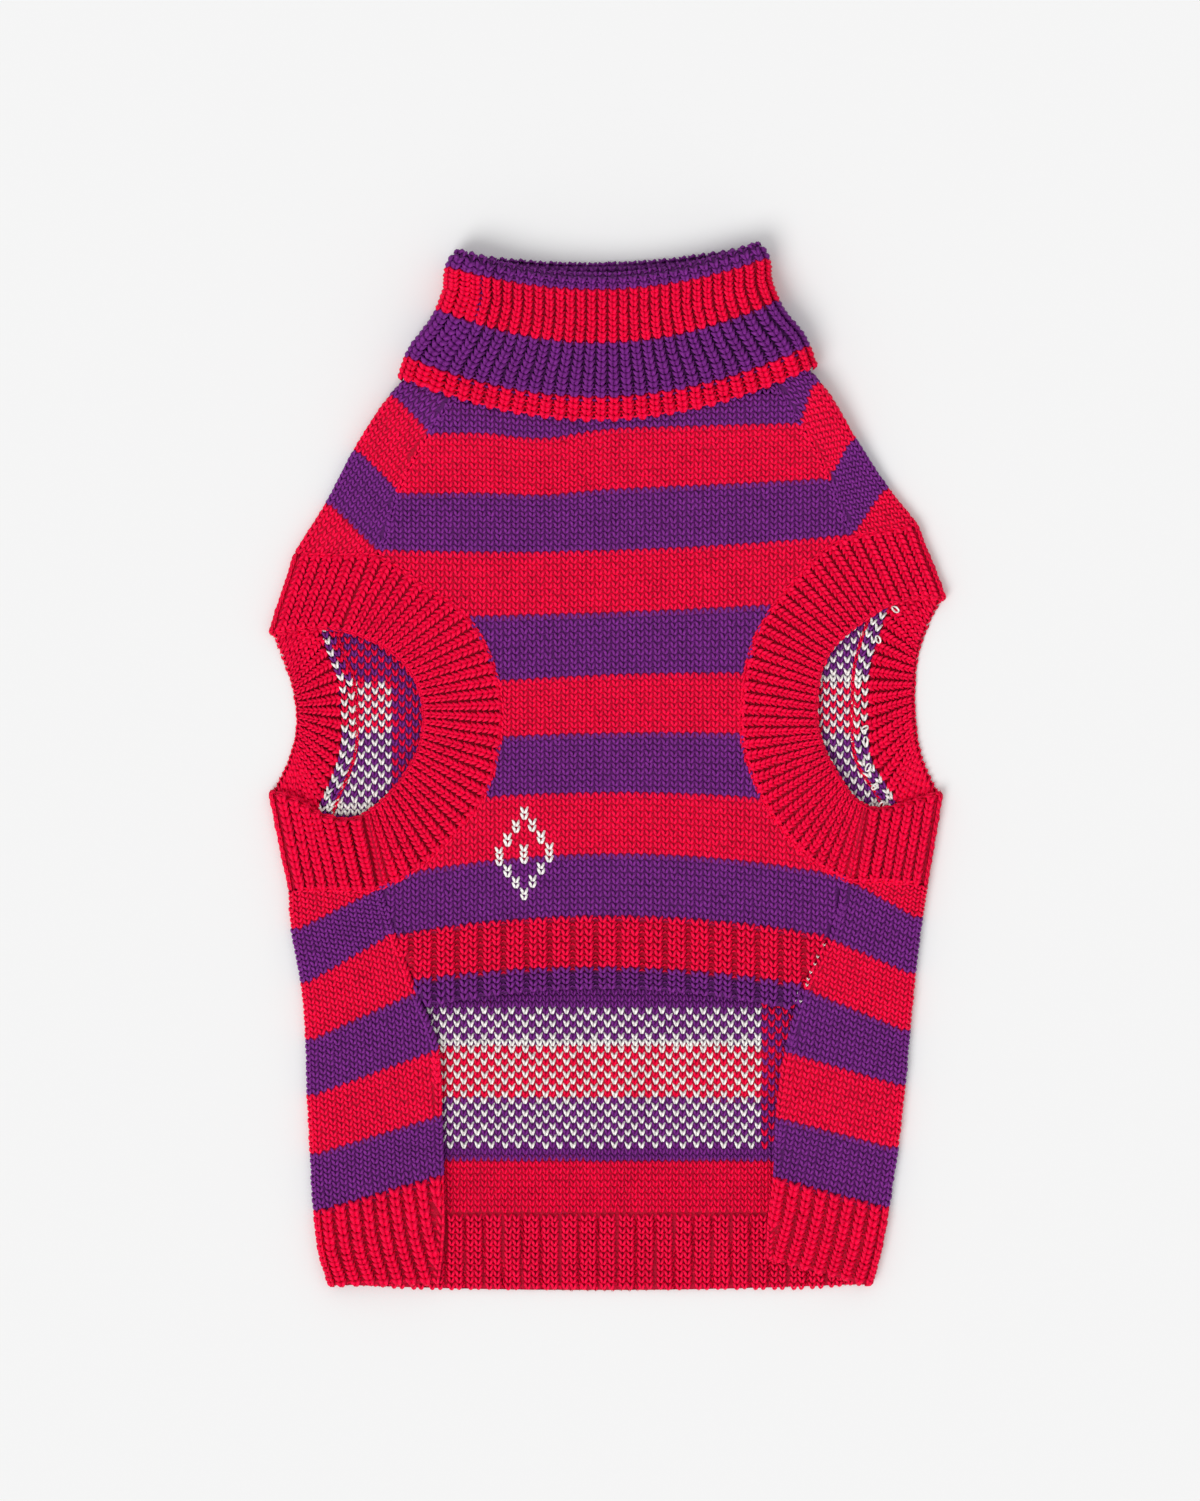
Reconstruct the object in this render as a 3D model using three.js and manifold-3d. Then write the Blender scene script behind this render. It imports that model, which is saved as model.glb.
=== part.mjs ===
// Dog sweater with a folded ribbed collar, laid flat on its back with the belly side up.
// Seven knitted pieces: back, belly, two raglan sleeves, two ribbed armbands and the collar.
// Millimetres, +Z up, +Y towards the collar, origin at the middle of the underside.
import * as THREE from 'three';
import Module from 'manifold-3d';
import { mergeVertices } from 'three/addons/utils/BufferGeometryUtils.js';

const wasm = await Module();
wasm.setup();

// Cloth
const CLOTH = 2.2;
const RIB_WALL = 1.8;
const RIB_RISE = 0.7;
const SEAM = 0.3;

// Heights of the middle of the cloth: the lower layer rests, and both rise under the collar
const LOWER_REST = 1.1;
const LOWER_NECK = 3.4;
const UPPER_REST = 4.5;
const UPPER_NECK = 9.6;
const UPPER_RIM = 11.6;
const TURNED_OVER = 2.5;

// Where each layer starts to rise towards the collar and where it has risen
const LOWER_RISE = { from: 128, to: 146 };
const CHEST_RISE = { from: 115, to: 165 };
const RIM_RISE = { from: 160, to: 190 };

// The neck line climbs a little to the right
const TILT = 0.026;

const RED = 0xd8143c;
const PURPLE = 0x65286d;

function cotton(colour) {
  return new THREE.MeshStandardMaterial({ color: colour, roughness: 0.75, metalness: 0 });
}

const smooth = THREE.MathUtils.smoothstep;
const mix = THREE.MathUtils.lerp;

function lowerHeight(y) {
  return LOWER_REST + (LOWER_NECK - LOWER_REST) * smooth(y, LOWER_RISE.from, LOWER_RISE.to);
}

function upperHeight(y) {
  const chest = (UPPER_NECK - UPPER_REST) * smooth(y, CHEST_RISE.from, CHEST_RISE.to);
  const collar = (UPPER_RIM - UPPER_NECK) * smooth(y, RIM_RISE.from, RIM_RISE.to);
  return UPPER_REST + chest + collar;
}

// Sleeves, from the armband to the neck. Each row runs from the belly's raglan seam over the
// folded outline to the back's raglan seam underneath.
const SLEEVES = {
  left: [
    { bellyX: -97.0, bellyY: 89.4, foldX: -131.7, foldY: 90.2, backX: -122.3, backY: 85.6 },
    { bellyX: -96.2, bellyY: 91.6, foldX: -125.5, foldY: 101.0, backX: -117.5, backY: 92.0 },
    { bellyX: -92.5, bellyY: 104.0, foldX: -119.0, foldY: 110.8, backX: -110.0, backY: 106.0 },
    { bellyX: -87.7, bellyY: 116.4, foldX: -107.3, foldY: 132.8, backX: -98.0, backY: 126.0 },
    { bellyX: -76.0, bellyY: 139.0, foldX: -97.5, foldY: 149.5, backX: -86.0, backY: 146.0 },
    { bellyX: -66.5, bellyY: 153.0, foldX: -89.0, foldY: 160.0, backX: -77.5, backY: 158.0 },
    { bellyX: -60.5, bellyY: 159.9, foldX: -80.5, foldY: 166.6, backX: -73.0, backY: 165.5 },
  ],
  right: [
    { bellyX: 104.5, bellyY: 97.7, foldX: 130.4, foldY: 102.4, backX: 121.2, backY: 93.2 },
    { bellyX: 102.2, bellyY: 100.5, foldX: 125.5, foldY: 109.0, backX: 116.0, backY: 101.0 },
    { bellyX: 97.5, bellyY: 111.0, foldX: 119.1, foldY: 116.8, backX: 109.0, backY: 111.0 },
    { bellyX: 92.5, bellyY: 122.5, foldX: 105.6, foldY: 137.6, backX: 96.0, backY: 131.0 },
    { bellyX: 81.0, bellyY: 144.0, foldX: 96.3, foldY: 152.5, backX: 84.5, backY: 149.5 },
    { bellyX: 71.0, bellyY: 156.5, foldX: 88.0, foldY: 164.0, backX: 76.5, backY: 162.0 },
    { bellyX: 62.5, bellyY: 163.6, foldX: 80.5, foldY: 170.9, backX: 72.0, backY: 169.0 },
  ],
};

// Back panel below the armholes, from the hem up. Each row runs from the left flap's edge on top,
// round the left fold, under the sweater and round the right fold to the right flap's edge.
const BACK_ROWS = [
  { leftX: -70.5, leftY: -216.5, leftFoldX: -117.0, leftFoldY: -217.4, middleY: -219.8,
    rightFoldX: 111.0, rightFoldY: -217.2, rightX: 66.5, rightY: -205.0 },
  { leftX: -68.4, leftY: -195.0, leftFoldX: -121.6, leftFoldY: -203.0, middleY: -204.0,
    rightFoldX: 115.2, rightFoldY: -202.0, rightX: 67.3, rightY: -189.0 },
  { leftX: -68.7, leftY: -171.0, leftFoldX: -123.6, leftFoldY: -186.0, middleY: -188.0,
    rightFoldX: 118.4, rightFoldY: -184.4, rightX: 69.5, rightY: -171.8 },
  { leftX: -69.0, leftY: -167.0, leftFoldX: -123.9, leftFoldY: -182.0, middleY: -184.0,
    rightFoldX: 119.2, rightFoldY: -180.4, rightX: 69.7, rightY: -167.8 },
  { leftX: -69.4, leftY: -145.7, leftFoldX: -125.0, leftFoldY: -162.0, middleY: -162.0,
    rightFoldX: 122.2, rightFoldY: -159.2, rightX: 70.6, rightY: -146.6 },
  { leftX: -71.0, leftY: -118.0, leftFoldX: -126.2, leftFoldY: -137.3, middleY: -138.0,
    rightFoldX: 125.2, rightFoldY: -133.0, rightX: 74.5, rightY: -119.0 },
  { leftX: -72.3, leftY: -99.5, leftFoldX: -126.9, leftFoldY: -118.0, middleY: -118.0,
    rightFoldX: 126.3, rightFoldY: -114.5, rightX: 79.6, rightY: -99.5 },
  { leftX: -80.0, leftY: -92.6, leftFoldX: -127.9, leftFoldY: -105.0, middleY: -105.0,
    rightFoldX: 127.6, rightFoldY: -101.5, rightX: 83.0, rightY: -92.0 },
  { leftX: -89.3, leftY: -68.9, leftFoldX: -129.9, leftFoldY: -87.0, middleY: -87.0,
    rightFoldX: 129.5, rightFoldY: -84.0, rightX: 93.0, rightY: -71.4 },
  { leftX: -94.4, leftY: -55.0, leftFoldX: -133.0, leftFoldY: -66.0, middleY: -66.0,
    rightFoldX: 132.4, rightFoldY: -62.0, rightX: 98.6, rightY: -51.0 },
  { leftX: -96.2, leftY: -51.6, leftFoldX: -134.0, leftFoldY: -51.6, middleY: -51.0,
    rightFoldX: 134.4, rightFoldY: -49.8, rightX: 99.8, rightY: -47.6 },
];
const HEM_ROWS = 3;
const FIRST_SEWN_ROW = 6;

// Rows of the back between the armholes and up to the neck, with the height of the knitted row
// at its left end, middle and right end
const UPPER_BACK_ROWS = [
  { left: -40, middle: -40, right: -39 },
  { left: -28, middle: -28, right: -27 },
  { left: -15, middle: -15, right: -14 },
  { left: 0, middle: 0, right: 1 },
  { left: 14, middle: 14, right: 15 },
  { left: 28, middle: 28, right: 29 },
  { left: 42, middle: 42, right: 44 },
  { left: 56, middle: 56, right: 59 },
  { left: 71, middle: 71, right: 76 },
  { left: 85.4, middle: 86, right: 93 },
  { left: 104, middle: 103, right: 109 },
  { left: 124, middle: 121, right: 127 },
  { left: 144, middle: 139, right: 146 },
  { left: 156, middle: 151, right: 159 },
  { left: 165.5, middle: 160.7, right: 169.0 },
];

// Rows of the belly panel from its hem to the neck
const BELLY_ROWS = [
  { left: -99.2, middle: -92.8, right: -99.2 },
  { left: -84, middle: -77.5, right: -85 },
  { left: -68.9, middle: -61.8, right: -71.4 },
  { left: -65, middle: -57.8, right: -67.4 },
  { left: -50.8, middle: -40, right: -47 },
  { left: -43, middle: -33, right: -39 },
  { left: -34, middle: -25, right: -30 },
  { left: -24, middle: -16, right: -21 },
  { left: -12, middle: -7, right: -10 },
  { left: 0, middle: 3, right: 2 },
  { left: 12, middle: 13, right: 13 },
  { left: 24, middle: 25, right: 25 },
  { left: 36, middle: 37, right: 38 },
  { left: 48, middle: 49, right: 51 },
  { left: 59, middle: 60, right: 63 },
  { left: 69, middle: 71, right: 74 },
  { left: 78, middle: 80, right: 84 },
  { left: 84, middle: 86, right: 91 },
  { left: 89.4, middle: 92, right: 97.7 },
  { left: 98, middle: 99, right: 105 },
  { left: 110, middle: 110, right: 116 },
  { left: 123, middle: 121, right: 128 },
  { left: 136, middle: 133, right: 141 },
  { left: 148, middle: 143, right: 152 },
  { left: 159.9, middle: 152, right: 163.6 },
];

// Armholes. The seam joins the band to the panels and the edge is the band's free edge. Each
// curve is given on the belly side, from the upper fold to the lower fold, and underneath, from
// the lower fold back to the upper one. A rib of the belly side runs between equal places of a
// rib run's columns, which are shares of the seam's length and of the edge's length.
const ARMHOLES = {
  left: {
    bellySeam: [
      { x: -131.7, y: 89.6 }, { x: -114, y: 89.1 }, { x: -96.5, y: 88.6 }, { x: -78.8, y: 77.3 },
      { x: -59, y: 63.2 }, { x: -48.2, y: 43 }, { x: -44.7, y: 24.4 }, { x: -46.3, y: 6 },
      { x: -52.3, y: -12.2 }, { x: -65.5, y: -29 }, { x: -82, y: -43.2 }, { x: -96.6, y: -50.4 },
      { x: -115, y: -51 }, { x: -134, y: -51 },
    ],
    bellyEdge: [
      { x: -142.2, y: 57 }, { x: -131, y: 58.8 }, { x: -117, y: 59.2 }, { x: -103, y: 55.8 },
      { x: -89.5, y: 48.6 }, { x: -80.4, y: 37.3 }, { x: -76.9, y: 24.4 }, { x: -78.6, y: 9 },
      { x: -86.5, y: -5.5 }, { x: -97, y: -16.3 }, { x: -108, y: -22 }, { x: -122, y: -19 },
      { x: -133, y: -13.2 }, { x: -142.2, y: -10.5 },
    ],
    backSeam: [
      { x: -134, y: -51 }, { x: -129, y: -35 }, { x: -121, y: -15.1 }, { x: -113, y: 6 },
      { x: -112, y: 22.5 }, { x: -113.2, y: 36 }, { x: -118.5, y: 50 }, { x: -121.8, y: 64 },
      { x: -122.4, y: 75 }, { x: -122.9, y: 84.6 }, { x: -131.7, y: 89.6 },
    ],
    backEdge: [
      { x: -142.2, y: -10.5 }, { x: -136.3, y: 2 }, { x: -132.9, y: 14 }, { x: -132.5, y: 24 },
      { x: -134.6, y: 36 }, { x: -138, y: 46 }, { x: -142.2, y: 57 },
    ],
    ribRuns: [
      { seam: 0, edge: 0 }, { seam: 0.137, edge: 0.185 }, { seam: 0.476, edge: 0.463 },
      { seam: 0.85, edge: 0.76 }, { seam: 1, edge: 1 },
    ],
  },
  right: {
    bellySeam: [
      { x: 130.4, y: 101.8 }, { x: 117.4, y: 99.2 }, { x: 104.8, y: 97 }, { x: 93.5, y: 93 },
      { x: 80.9, y: 80.6 }, { x: 69.1, y: 66.4 }, { x: 60.5, y: 50 }, { x: 57.2, y: 31 },
      { x: 56.5, y: 14.3 }, { x: 60, y: 0 }, { x: 67.5, y: -17 }, { x: 80.9, y: -34 },
      { x: 100, y: -46.8 }, { x: 117, y: -47.4 }, { x: 134.4, y: -49.2 },
    ],
    bellyEdge: [
      { x: 142.2, y: 71.5 }, { x: 131, y: 71.9 }, { x: 120, y: 69.6 }, { x: 108.2, y: 63 },
      { x: 98.1, y: 55 }, { x: 90.7, y: 44.9 }, { x: 87.6, y: 30 }, { x: 87.9, y: 17 },
      { x: 91, y: 7 }, { x: 96.5, y: -3.5 }, { x: 104, y: -13.5 }, { x: 113, y: -17.4 },
      { x: 128, y: -14.6 }, { x: 140.7, y: -11 },
    ],
    backSeam: [
      { x: 134.4, y: -49.2 }, { x: 129, y: -34 }, { x: 121.6, y: -14.3 }, { x: 111.5, y: 3 },
      { x: 109.6, y: 16 }, { x: 109.8, y: 30 }, { x: 110.5, y: 42 }, { x: 113.6, y: 54 },
      { x: 118, y: 67 }, { x: 120.4, y: 80 }, { x: 121.9, y: 92.2 }, { x: 130.4, y: 101.8 },
    ],
    backEdge: [
      { x: 140.7, y: -11 }, { x: 134.4, y: 3 }, { x: 131.5, y: 18 }, { x: 131, y: 32 },
      { x: 132.4, y: 47 }, { x: 136.3, y: 60 }, { x: 142.2, y: 71.5 },
    ],
    ribRuns: [
      { seam: 0, edge: 0 }, { seam: 0.108, edge: 0.15 }, { seam: 0.534, edge: 0.56 },
      { seam: 0.877, edge: 0.805 }, { seam: 1, edge: 1 },
    ],
  },
};

// Collar, from the neck seam up inside the neck, over the rim and down outside. Each row is one
// loop: its reach in X, the height of its front, back and side points in Y, and its share of
// the turn from the inner tube (0) to the turned-over layer (1).
const COLLAR_ROWS = [
  { reach: 79.5, front: 152.9, back: 161.6, side: 169.7, turned: 0 },
  { reach: 66.5, front: 180, back: 186, side: 196, turned: 0 },
  { reach: 61.5, front: 203, back: 208.5, side: 214, turned: 0 },
  { reach: 63.3, front: 205.8, back: 211, side: 217.2, turned: 0.5 },
  { reach: 65.2, front: 203, back: 208.5, side: 214, turned: 1 },
  { reach: 67.2, front: 187, back: 191, side: 202, turned: 1 },
  { reach: 72.5, front: 174, back: 177, side: 189.5, turned: 1 },
  { reach: 81.5, front: 160, back: 163.5, side: 178, turned: 1 },
  { reach: 86.3, front: 146.6, back: 150.5, side: 166.4, turned: 1 },
];
const COLLAR_RIBS = { front: 28, side: 4 };
const BAND_RIBS = { belly: 48, back: 28, fold: 2 };
const BAND_ROWS = 3;
const BAND_LIFT = 0.9;
const BAND_WIDTH = 30;

// Points on a fold, on a sleeve's flat stretches and on a panel's row outside its ribbed hem
const FOLD_STEPS = 4;
const SLEEVE_STEPS = { belly: 5, back: 3 };
const BELLY_STEPS = { plain: 16, ribbed: 32 };
const BACK_STEPS = { plain: { flap: 6, middle: 16 }, ribbed: { flap: 18, middle: 54 } };

// Shares of an armband's two sides over which they run out into the folds
const FOLD_BLEND = { belly: 1 / 12, back: 1 / 6 };

// Straight stretch left out at each end of the collar, where it turns over the fold
const COLLAR_END = 5;

// How much thicker than the cloth the room is that the panels leave for an armband and the neck
const BAND_ROOM = 1.4;
const FOLD_ROOM = 0.6;
const NECK_ROOM = 2;

const SEAM_JOIN = 1;
const FACES_DOWN = -0.9;
const SAME_POINT = 0.001;

// A sheet is the middle surface of a piece of cloth: points, the rise of a rib on each side of
// each point, and triangles
function newSheet() {
  return { points: [], ribbed: [], triangles: [] };
}

function addRow(sheet, points, isRibbed = () => false) {
  return points.map((point, column) => {
    sheet.points.push(point);
    sheet.ribbed.push(isRibbed(column));
    return { index: sheet.points.length - 1, share: column / (points.length - 1) };
  });
}

// Joins two rows that may have unequal numbers of points, always stepping along the row that lags
function joinRows(sheet, low, high) {
  let a = 0;
  let b = 0;
  while (a < low.length - 1 || b < high.length - 1) {
    const lowNext = a < low.length - 1 ? low[a + 1].share : Infinity;
    const highNext = b < high.length - 1 ? high[b + 1].share : Infinity;
    if (lowNext <= highNext) {
      sheet.triangles.push([low[a].index, low[a + 1].index, high[b].index]);
      a += 1;
    } else {
      sheet.triangles.push([low[a].index, high[b + 1].index, high[b].index]);
      b += 1;
    }
  }
}

function joinLoops(sheet, low, high) {
  for (let i = 0; i < low.length; i += 1) {
    const next = (i + 1) % low.length;
    sheet.triangles.push([low[i].index, low[next].index, high[next].index]);
    sheet.triangles.push([low[i].index, high[next].index, high[i].index]);
  }
}

// Gives a sheet its wall. Ribs rise on the outside, and where that side rests on the ground they
// rise on the inside instead if the inside shows.
function thicken(sheet, wall, ribsInside) {
  const middle = new THREE.BufferGeometry().setFromPoints(sheet.points);
  middle.setIndex(sheet.triangles.flat());
  middle.computeVertexNormals();
  const normals = middle.getAttribute('normal');
  const outer = [];
  const inner = [];
  sheet.points.forEach((point, i) => {
    const normal = new THREE.Vector3().fromBufferAttribute(normals, i);
    const rests = normal.z < FACES_DOWN && point.z < UPPER_REST / 2;
    const rise = sheet.ribbed[i] ? RIB_RISE : 0;
    const outside = wall / 2 + (rests ? 0 : rise);
    const inside = wall / 2 + (rests && ribsInside ? rise : 0);
    const face = point.clone().addScaledVector(normal, outside);
    outer.push(face.setZ(Math.max(face.z, 0)));
    inner.push(point.clone().addScaledVector(normal, -inside));
  });
  const count = outer.length;
  const faces = [];
  const openEdges = new Map();
  for (const [a, b, c] of sheet.triangles) {
    faces.push(a, b, c, count + a, count + c, count + b);
    for (const [from, to] of [[a, b], [b, c], [c, a]]) {
      if (!openEdges.delete(`${to}_${from}`)) openEdges.set(`${from}_${to}`, [from, to]);
    }
  }
  for (const [from, to] of openEdges.values()) {
    faces.push(to, from, count + from, to, count + from, count + to);
  }
  const solid = new THREE.BufferGeometry().setFromPoints([...outer, ...inner]);
  solid.setIndex(faces);
  return mergeVertices(solid, SAME_POINT);
}

function toManifold(geometry) {
  return new wasm.Manifold(new wasm.Mesh({
    numProp: 3,
    vertProperties: new Float32Array(geometry.getAttribute('position').array),
    triVerts: new Uint32Array(geometry.index.array),
  }));
}

// Trims a piece along its neighbours, which are given a little larger, and keeps its main body
function trim(geometry, neighbours) {
  let solid = toManifold(geometry);
  for (const neighbour of neighbours) solid = solid.subtract(toManifold(neighbour));
  const bodies = solid.decompose().sort((a, b) => b.volume() - a.volume());
  const { vertProperties, triVerts } = bodies[0].getMesh();
  const trimmed = new THREE.BufferGeometry();
  trimmed.setAttribute('position', new THREE.BufferAttribute(vertProperties, 3));
  trimmed.setIndex(new THREE.BufferAttribute(triVerts, 1));
  return trimmed;
}

function piece(name, geometry, colour) {
  geometry.computeVertexNormals();
  const mesh = new THREE.Mesh(geometry, cotton(colour));
  mesh.name = name;
  return mesh;
}

// Where a seam, given as points of rising or falling height, crosses a height
function seamX(seam, y) {
  for (let i = 0; i < seam.length - 1; i += 1) {
    const [from, to] = [seam[i], seam[i + 1]];
    if ((from.y - y) * (to.y - y) <= 0 && from.y !== to.y) {
      return mix(from.x, to.x, (y - from.y) / (to.y - from.y));
    }
  }
  const nearest = Math.abs(seam[0].y - y) < Math.abs(seam.at(-1).y - y) ? seam[0] : seam.at(-1);
  return nearest.x;
}

// A parabola through a row's left, middle and right heights
function rowHeight(row, share) {
  const across = 2 * share - 1;
  const bend = (row.left + row.right) / 2 - row.middle;
  return row.middle + bend * across * across + ((row.right - row.left) / 2) * across;
}

// Points on a smooth curve, evenly spaced, or at the places that a function gives for even shares
function smoothCurve(points, samples, place = (share) => share) {
  const curve = new THREE.CatmullRomCurve3(
    points.map(({ x, y }) => new THREE.Vector3(x, y, 0)), false, 'centripetal');
  const found = [];
  for (let i = 0; i <= samples; i += 1) found.push(curve.getPointAt(place(i / samples)));
  return found;
}

// The place on the edge of the rib that starts at a place on the seam
function edgePlace(ribRuns, seamShare) {
  const next = Math.max(1, ribRuns.findIndex(({ seam }) => seam >= seamShare));
  const [from, to] = [ribRuns[next - 1], ribRuns[next]];
  return mix(from.edge, to.edge, (seamShare - from.seam) / (to.seam - from.seam));
}

const CURVE_SAMPLES = 240;
const seams = {};
for (const [side, armhole] of Object.entries(ARMHOLES)) {
  const bellyCurve = smoothCurve(armhole.bellySeam, CURVE_SAMPLES);
  const backCurve = smoothCurve(armhole.backSeam, CURVE_SAMPLES);
  const sleeve = SLEEVES[side];
  const lowest = BACK_ROWS.at(-1)[`${side}Y`];
  seams[side] = {
    belly: [
      ...BACK_ROWS.slice(FIRST_SEWN_ROW).map((row) => ({ x: row[`${side}X`], y: row[`${side}Y`] })),
      ...bellyCurve.filter(({ y }) => y > lowest + SEAM_JOIN && y < sleeve[0].bellyY - SEAM_JOIN)
        .reverse(),
      ...sleeve.map((row) => ({ x: row.bellyX, y: row.bellyY })),
    ],
    back: [
      ...backCurve.filter(({ y }) => y < sleeve[0].backY - SEAM_JOIN),
      ...sleeve.map((row) => ({ x: row.backX, y: row.backY })),
    ],
  };
}

// Points along a fold from above to below, rounded between the two layers. outwards is -1 on
// the left and 1 on the right, and the fold's outside just reaches the outline.
function foldPoints(x, y, outwards, wall, steps) {
  const upper = upperHeight(y);
  const lower = lowerHeight(y);
  const radius = (upper - lower) / 2;
  const centre = x - outwards * (wall / 2 + radius);
  const points = [];
  for (let i = 0; i <= steps; i += 1) {
    const turn = (Math.PI * i) / steps;
    const height = (upper + lower) / 2 + radius * Math.cos(turn);
    points.push(new THREE.Vector3(centre + outwards * radius * Math.sin(turn), y, height));
  }
  return points;
}

// Points from one end to the other of a flat stretch, without the ends
function between(from, to, steps, height) {
  const points = [];
  for (let i = 1; i < steps; i += 1) {
    const share = i / steps;
    const y = mix(from.y, to.y, share);
    points.push(new THREE.Vector3(mix(from.x, to.x, share), y, height(y)));
  }
  return points;
}

function makeBelly() {
  const sheet = newSheet();
  let below = null;
  BELLY_ROWS.forEach((row, i) => {
    const inHem = i < HEM_ROWS;
    const steps = inHem || i === HEM_ROWS ? BELLY_STEPS.ribbed : BELLY_STEPS.plain;
    const left = seamX(seams.left.belly, row.left) + SEAM;
    const right = seamX(seams.right.belly, row.right) - SEAM;
    const points = [];
    for (let step = 0; step <= steps; step += 1) {
      const share = step / steps;
      const y = rowHeight(row, share);
      points.push(new THREE.Vector3(mix(left, right, share), y, upperHeight(y)));
    }
    const here = addRow(sheet, points, (column) => inHem && column % 2 === 1);
    if (below) joinRows(sheet, below, here);
    below = here;
  });
  return thicken(sheet, CLOTH, false);
}

// Both flaps, folds and the lower layer in one row, from the left flap's edge to the right one's
function backRow(row, flapSteps, middleSteps) {
  const leftFold = foldPoints(row.leftFoldX, row.leftFoldY, -1, CLOTH, FOLD_STEPS);
  const rightFold = foldPoints(row.rightFoldX, row.rightFoldY, 1, CLOTH, FOLD_STEPS).reverse();
  const leftEdge = new THREE.Vector3(row.leftX - SEAM, row.leftY, upperHeight(row.leftY));
  const rightEdge = new THREE.Vector3(row.rightX + SEAM, row.rightY, upperHeight(row.rightY));
  const underneath = [];
  const from = leftFold.at(-1);
  const to = rightFold[0];
  const heights = { left: from.y, middle: row.middleY, right: to.y };
  for (let i = 1; i < middleSteps; i += 1) {
    const share = i / middleSteps;
    const y = rowHeight(heights, share);
    underneath.push(new THREE.Vector3(mix(from.x, to.x, share), y, lowerHeight(y)));
  }
  return [
    leftEdge, ...between(leftEdge, leftFold[0], flapSteps, upperHeight), ...leftFold,
    ...underneath,
    ...rightFold, ...between(rightFold.at(-1), rightEdge, flapSteps, upperHeight), rightEdge,
  ];
}

function makeBack() {
  const sheet = newSheet();
  const { plain, ribbed } = BACK_STEPS;
  let below = null;
  let count = plain;
  BACK_ROWS.forEach((row, i) => {
    const inHem = i < HEM_ROWS;
    count = inHem || i === HEM_ROWS ? ribbed : plain;
    const here = addRow(sheet, backRow(row, count.flap, count.middle),
      (column) => inHem && column % 2 === 1);
    if (below) joinRows(sheet, here, below);
    below = here;
  });
  const underneath = plain.flap + FOLD_STEPS;
  below = below.slice(underneath, underneath + plain.middle + 1);
  UPPER_BACK_ROWS.forEach((row) => {
    const left = seamX(seams.left.back, row.left) + SEAM;
    const right = seamX(seams.right.back, row.right) - SEAM;
    const points = [];
    for (let step = 0; step <= plain.middle; step += 1) {
      const share = step / plain.middle;
      const y = rowHeight(row, share);
      points.push(new THREE.Vector3(mix(left, right, share), y, lowerHeight(y)));
    }
    const here = addRow(sheet, points);
    here.forEach((vertex, column) => { vertex.share = below[column].share; });
    joinRows(sheet, here, below);
    below = here;
  });
  return thicken(sheet, CLOTH, true);
}

// A sleeve, or with a grow over zero the larger shape that its neighbours are trimmed by
function makeSleeve(side, outwards, grow = 0) {
  const sheet = newSheet();
  let below = null;
  const rows = [];
  SLEEVES[side].forEach((row) => {
    if (rows.length > 0) {
      const halfway = {};
      for (const key of Object.keys(row)) halfway[key] = (rows.at(-1)[key] + row[key]) / 2;
      rows.push(halfway);
    }
    rows.push(row);
  });
  rows.forEach((row) => {
    const fold = foldPoints(row.foldX, row.foldY, outwards, CLOTH, FOLD_STEPS);
    const bellyX = row.bellyX - outwards * grow;
    const backX = row.backX - outwards * grow;
    const belly = new THREE.Vector3(bellyX, row.bellyY, upperHeight(row.bellyY));
    const back = new THREE.Vector3(backX, row.backY, lowerHeight(row.backY));
    const here = addRow(sheet, [
      belly, ...between(belly, fold[0], SLEEVE_STEPS.belly, upperHeight), ...fold,
      ...between(fold.at(-1), back, SLEEVE_STEPS.back, lowerHeight), back,
    ]);
    if (below) {
      if (outwards > 0) joinRows(sheet, below, here);
      else joinRows(sheet, here, below);
    }
    below = here;
  });
  return thicken(sheet, CLOTH + 2 * grow, false);
}

function makeArmband(side, outwards, grow = 0, room = 0) {
  const armhole = ARMHOLES[side];
  const stepsPerRib = grow > 0 ? 1 : 2;
  const bellySteps = stepsPerRib * BAND_RIBS.belly;
  const backSteps = 2 * BAND_RIBS.back;
  const foldSteps = 2 * BAND_RIBS.fold;
  const bellySeam = smoothCurve(armhole.bellySeam, bellySteps);
  const bellyEdge = smoothCurve(armhole.bellyEdge, bellySteps,
    (seamShare) => edgePlace(armhole.ribRuns, seamShare));
  const backSeam = smoothCurve(armhole.backSeam, backSteps);
  const backEdge = smoothCurve(armhole.backEdge, backSteps);
  const sheet = newSheet();
  let below = null;
  for (let row = 0; row < BAND_ROWS; row += 1) {
    const share = row === 0 ? -grow / BAND_WIDTH : row / (BAND_ROWS - 1);
    const top = bellySeam.map((seam, i) => seam.clone().lerp(bellyEdge[i], share));
    const under = backSeam.map((seam, i) => seam.clone().lerp(backEdge[i], share));
    const upperFold = foldPoints(top[0].x, top[0].y, outwards, RIB_WALL, foldSteps);
    const lowerFold = foldPoints(top.at(-1).x, top.at(-1).y, outwards, RIB_WALL, foldSteps);
    const inset = lowerFold[0].x - top.at(-1).x;
    const loop = [];
    top.forEach((point, i) => {
      const along = i / bellySteps;
      const lift = share * BAND_LIFT * Math.sin(Math.PI * along);
      const nearFold = Math.max(0, 1 - Math.min(along, 1 - along) / FOLD_BLEND.belly);
      const x = point.x + inset * nearFold;
      loop.push(new THREE.Vector3(x, point.y, upperHeight(point.y) + lift));
    });
    loop.push(...lowerFold.slice(1, -1));
    under.forEach((point, i) => {
      const along = i / backSteps;
      const nearFold = Math.max(0, 1 - Math.min(along, 1 - along) / FOLD_BLEND.back);
      const x = point.x + inset * Math.max(nearFold, share);
      loop.push(new THREE.Vector3(x, point.y, RIB_WALL / 2));
    });
    loop.push(...upperFold.slice(1, -1).reverse());
    const here = addRow(sheet, loop, (column) => grow === 0 && column % 2 === 1);
    if (below) {
      if (outwards > 0) joinLoops(sheet, below, here);
      else joinLoops(sheet, here, below);
    }
    below = here;
  }
  return thicken(sheet, RIB_WALL + room, true);
}

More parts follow.
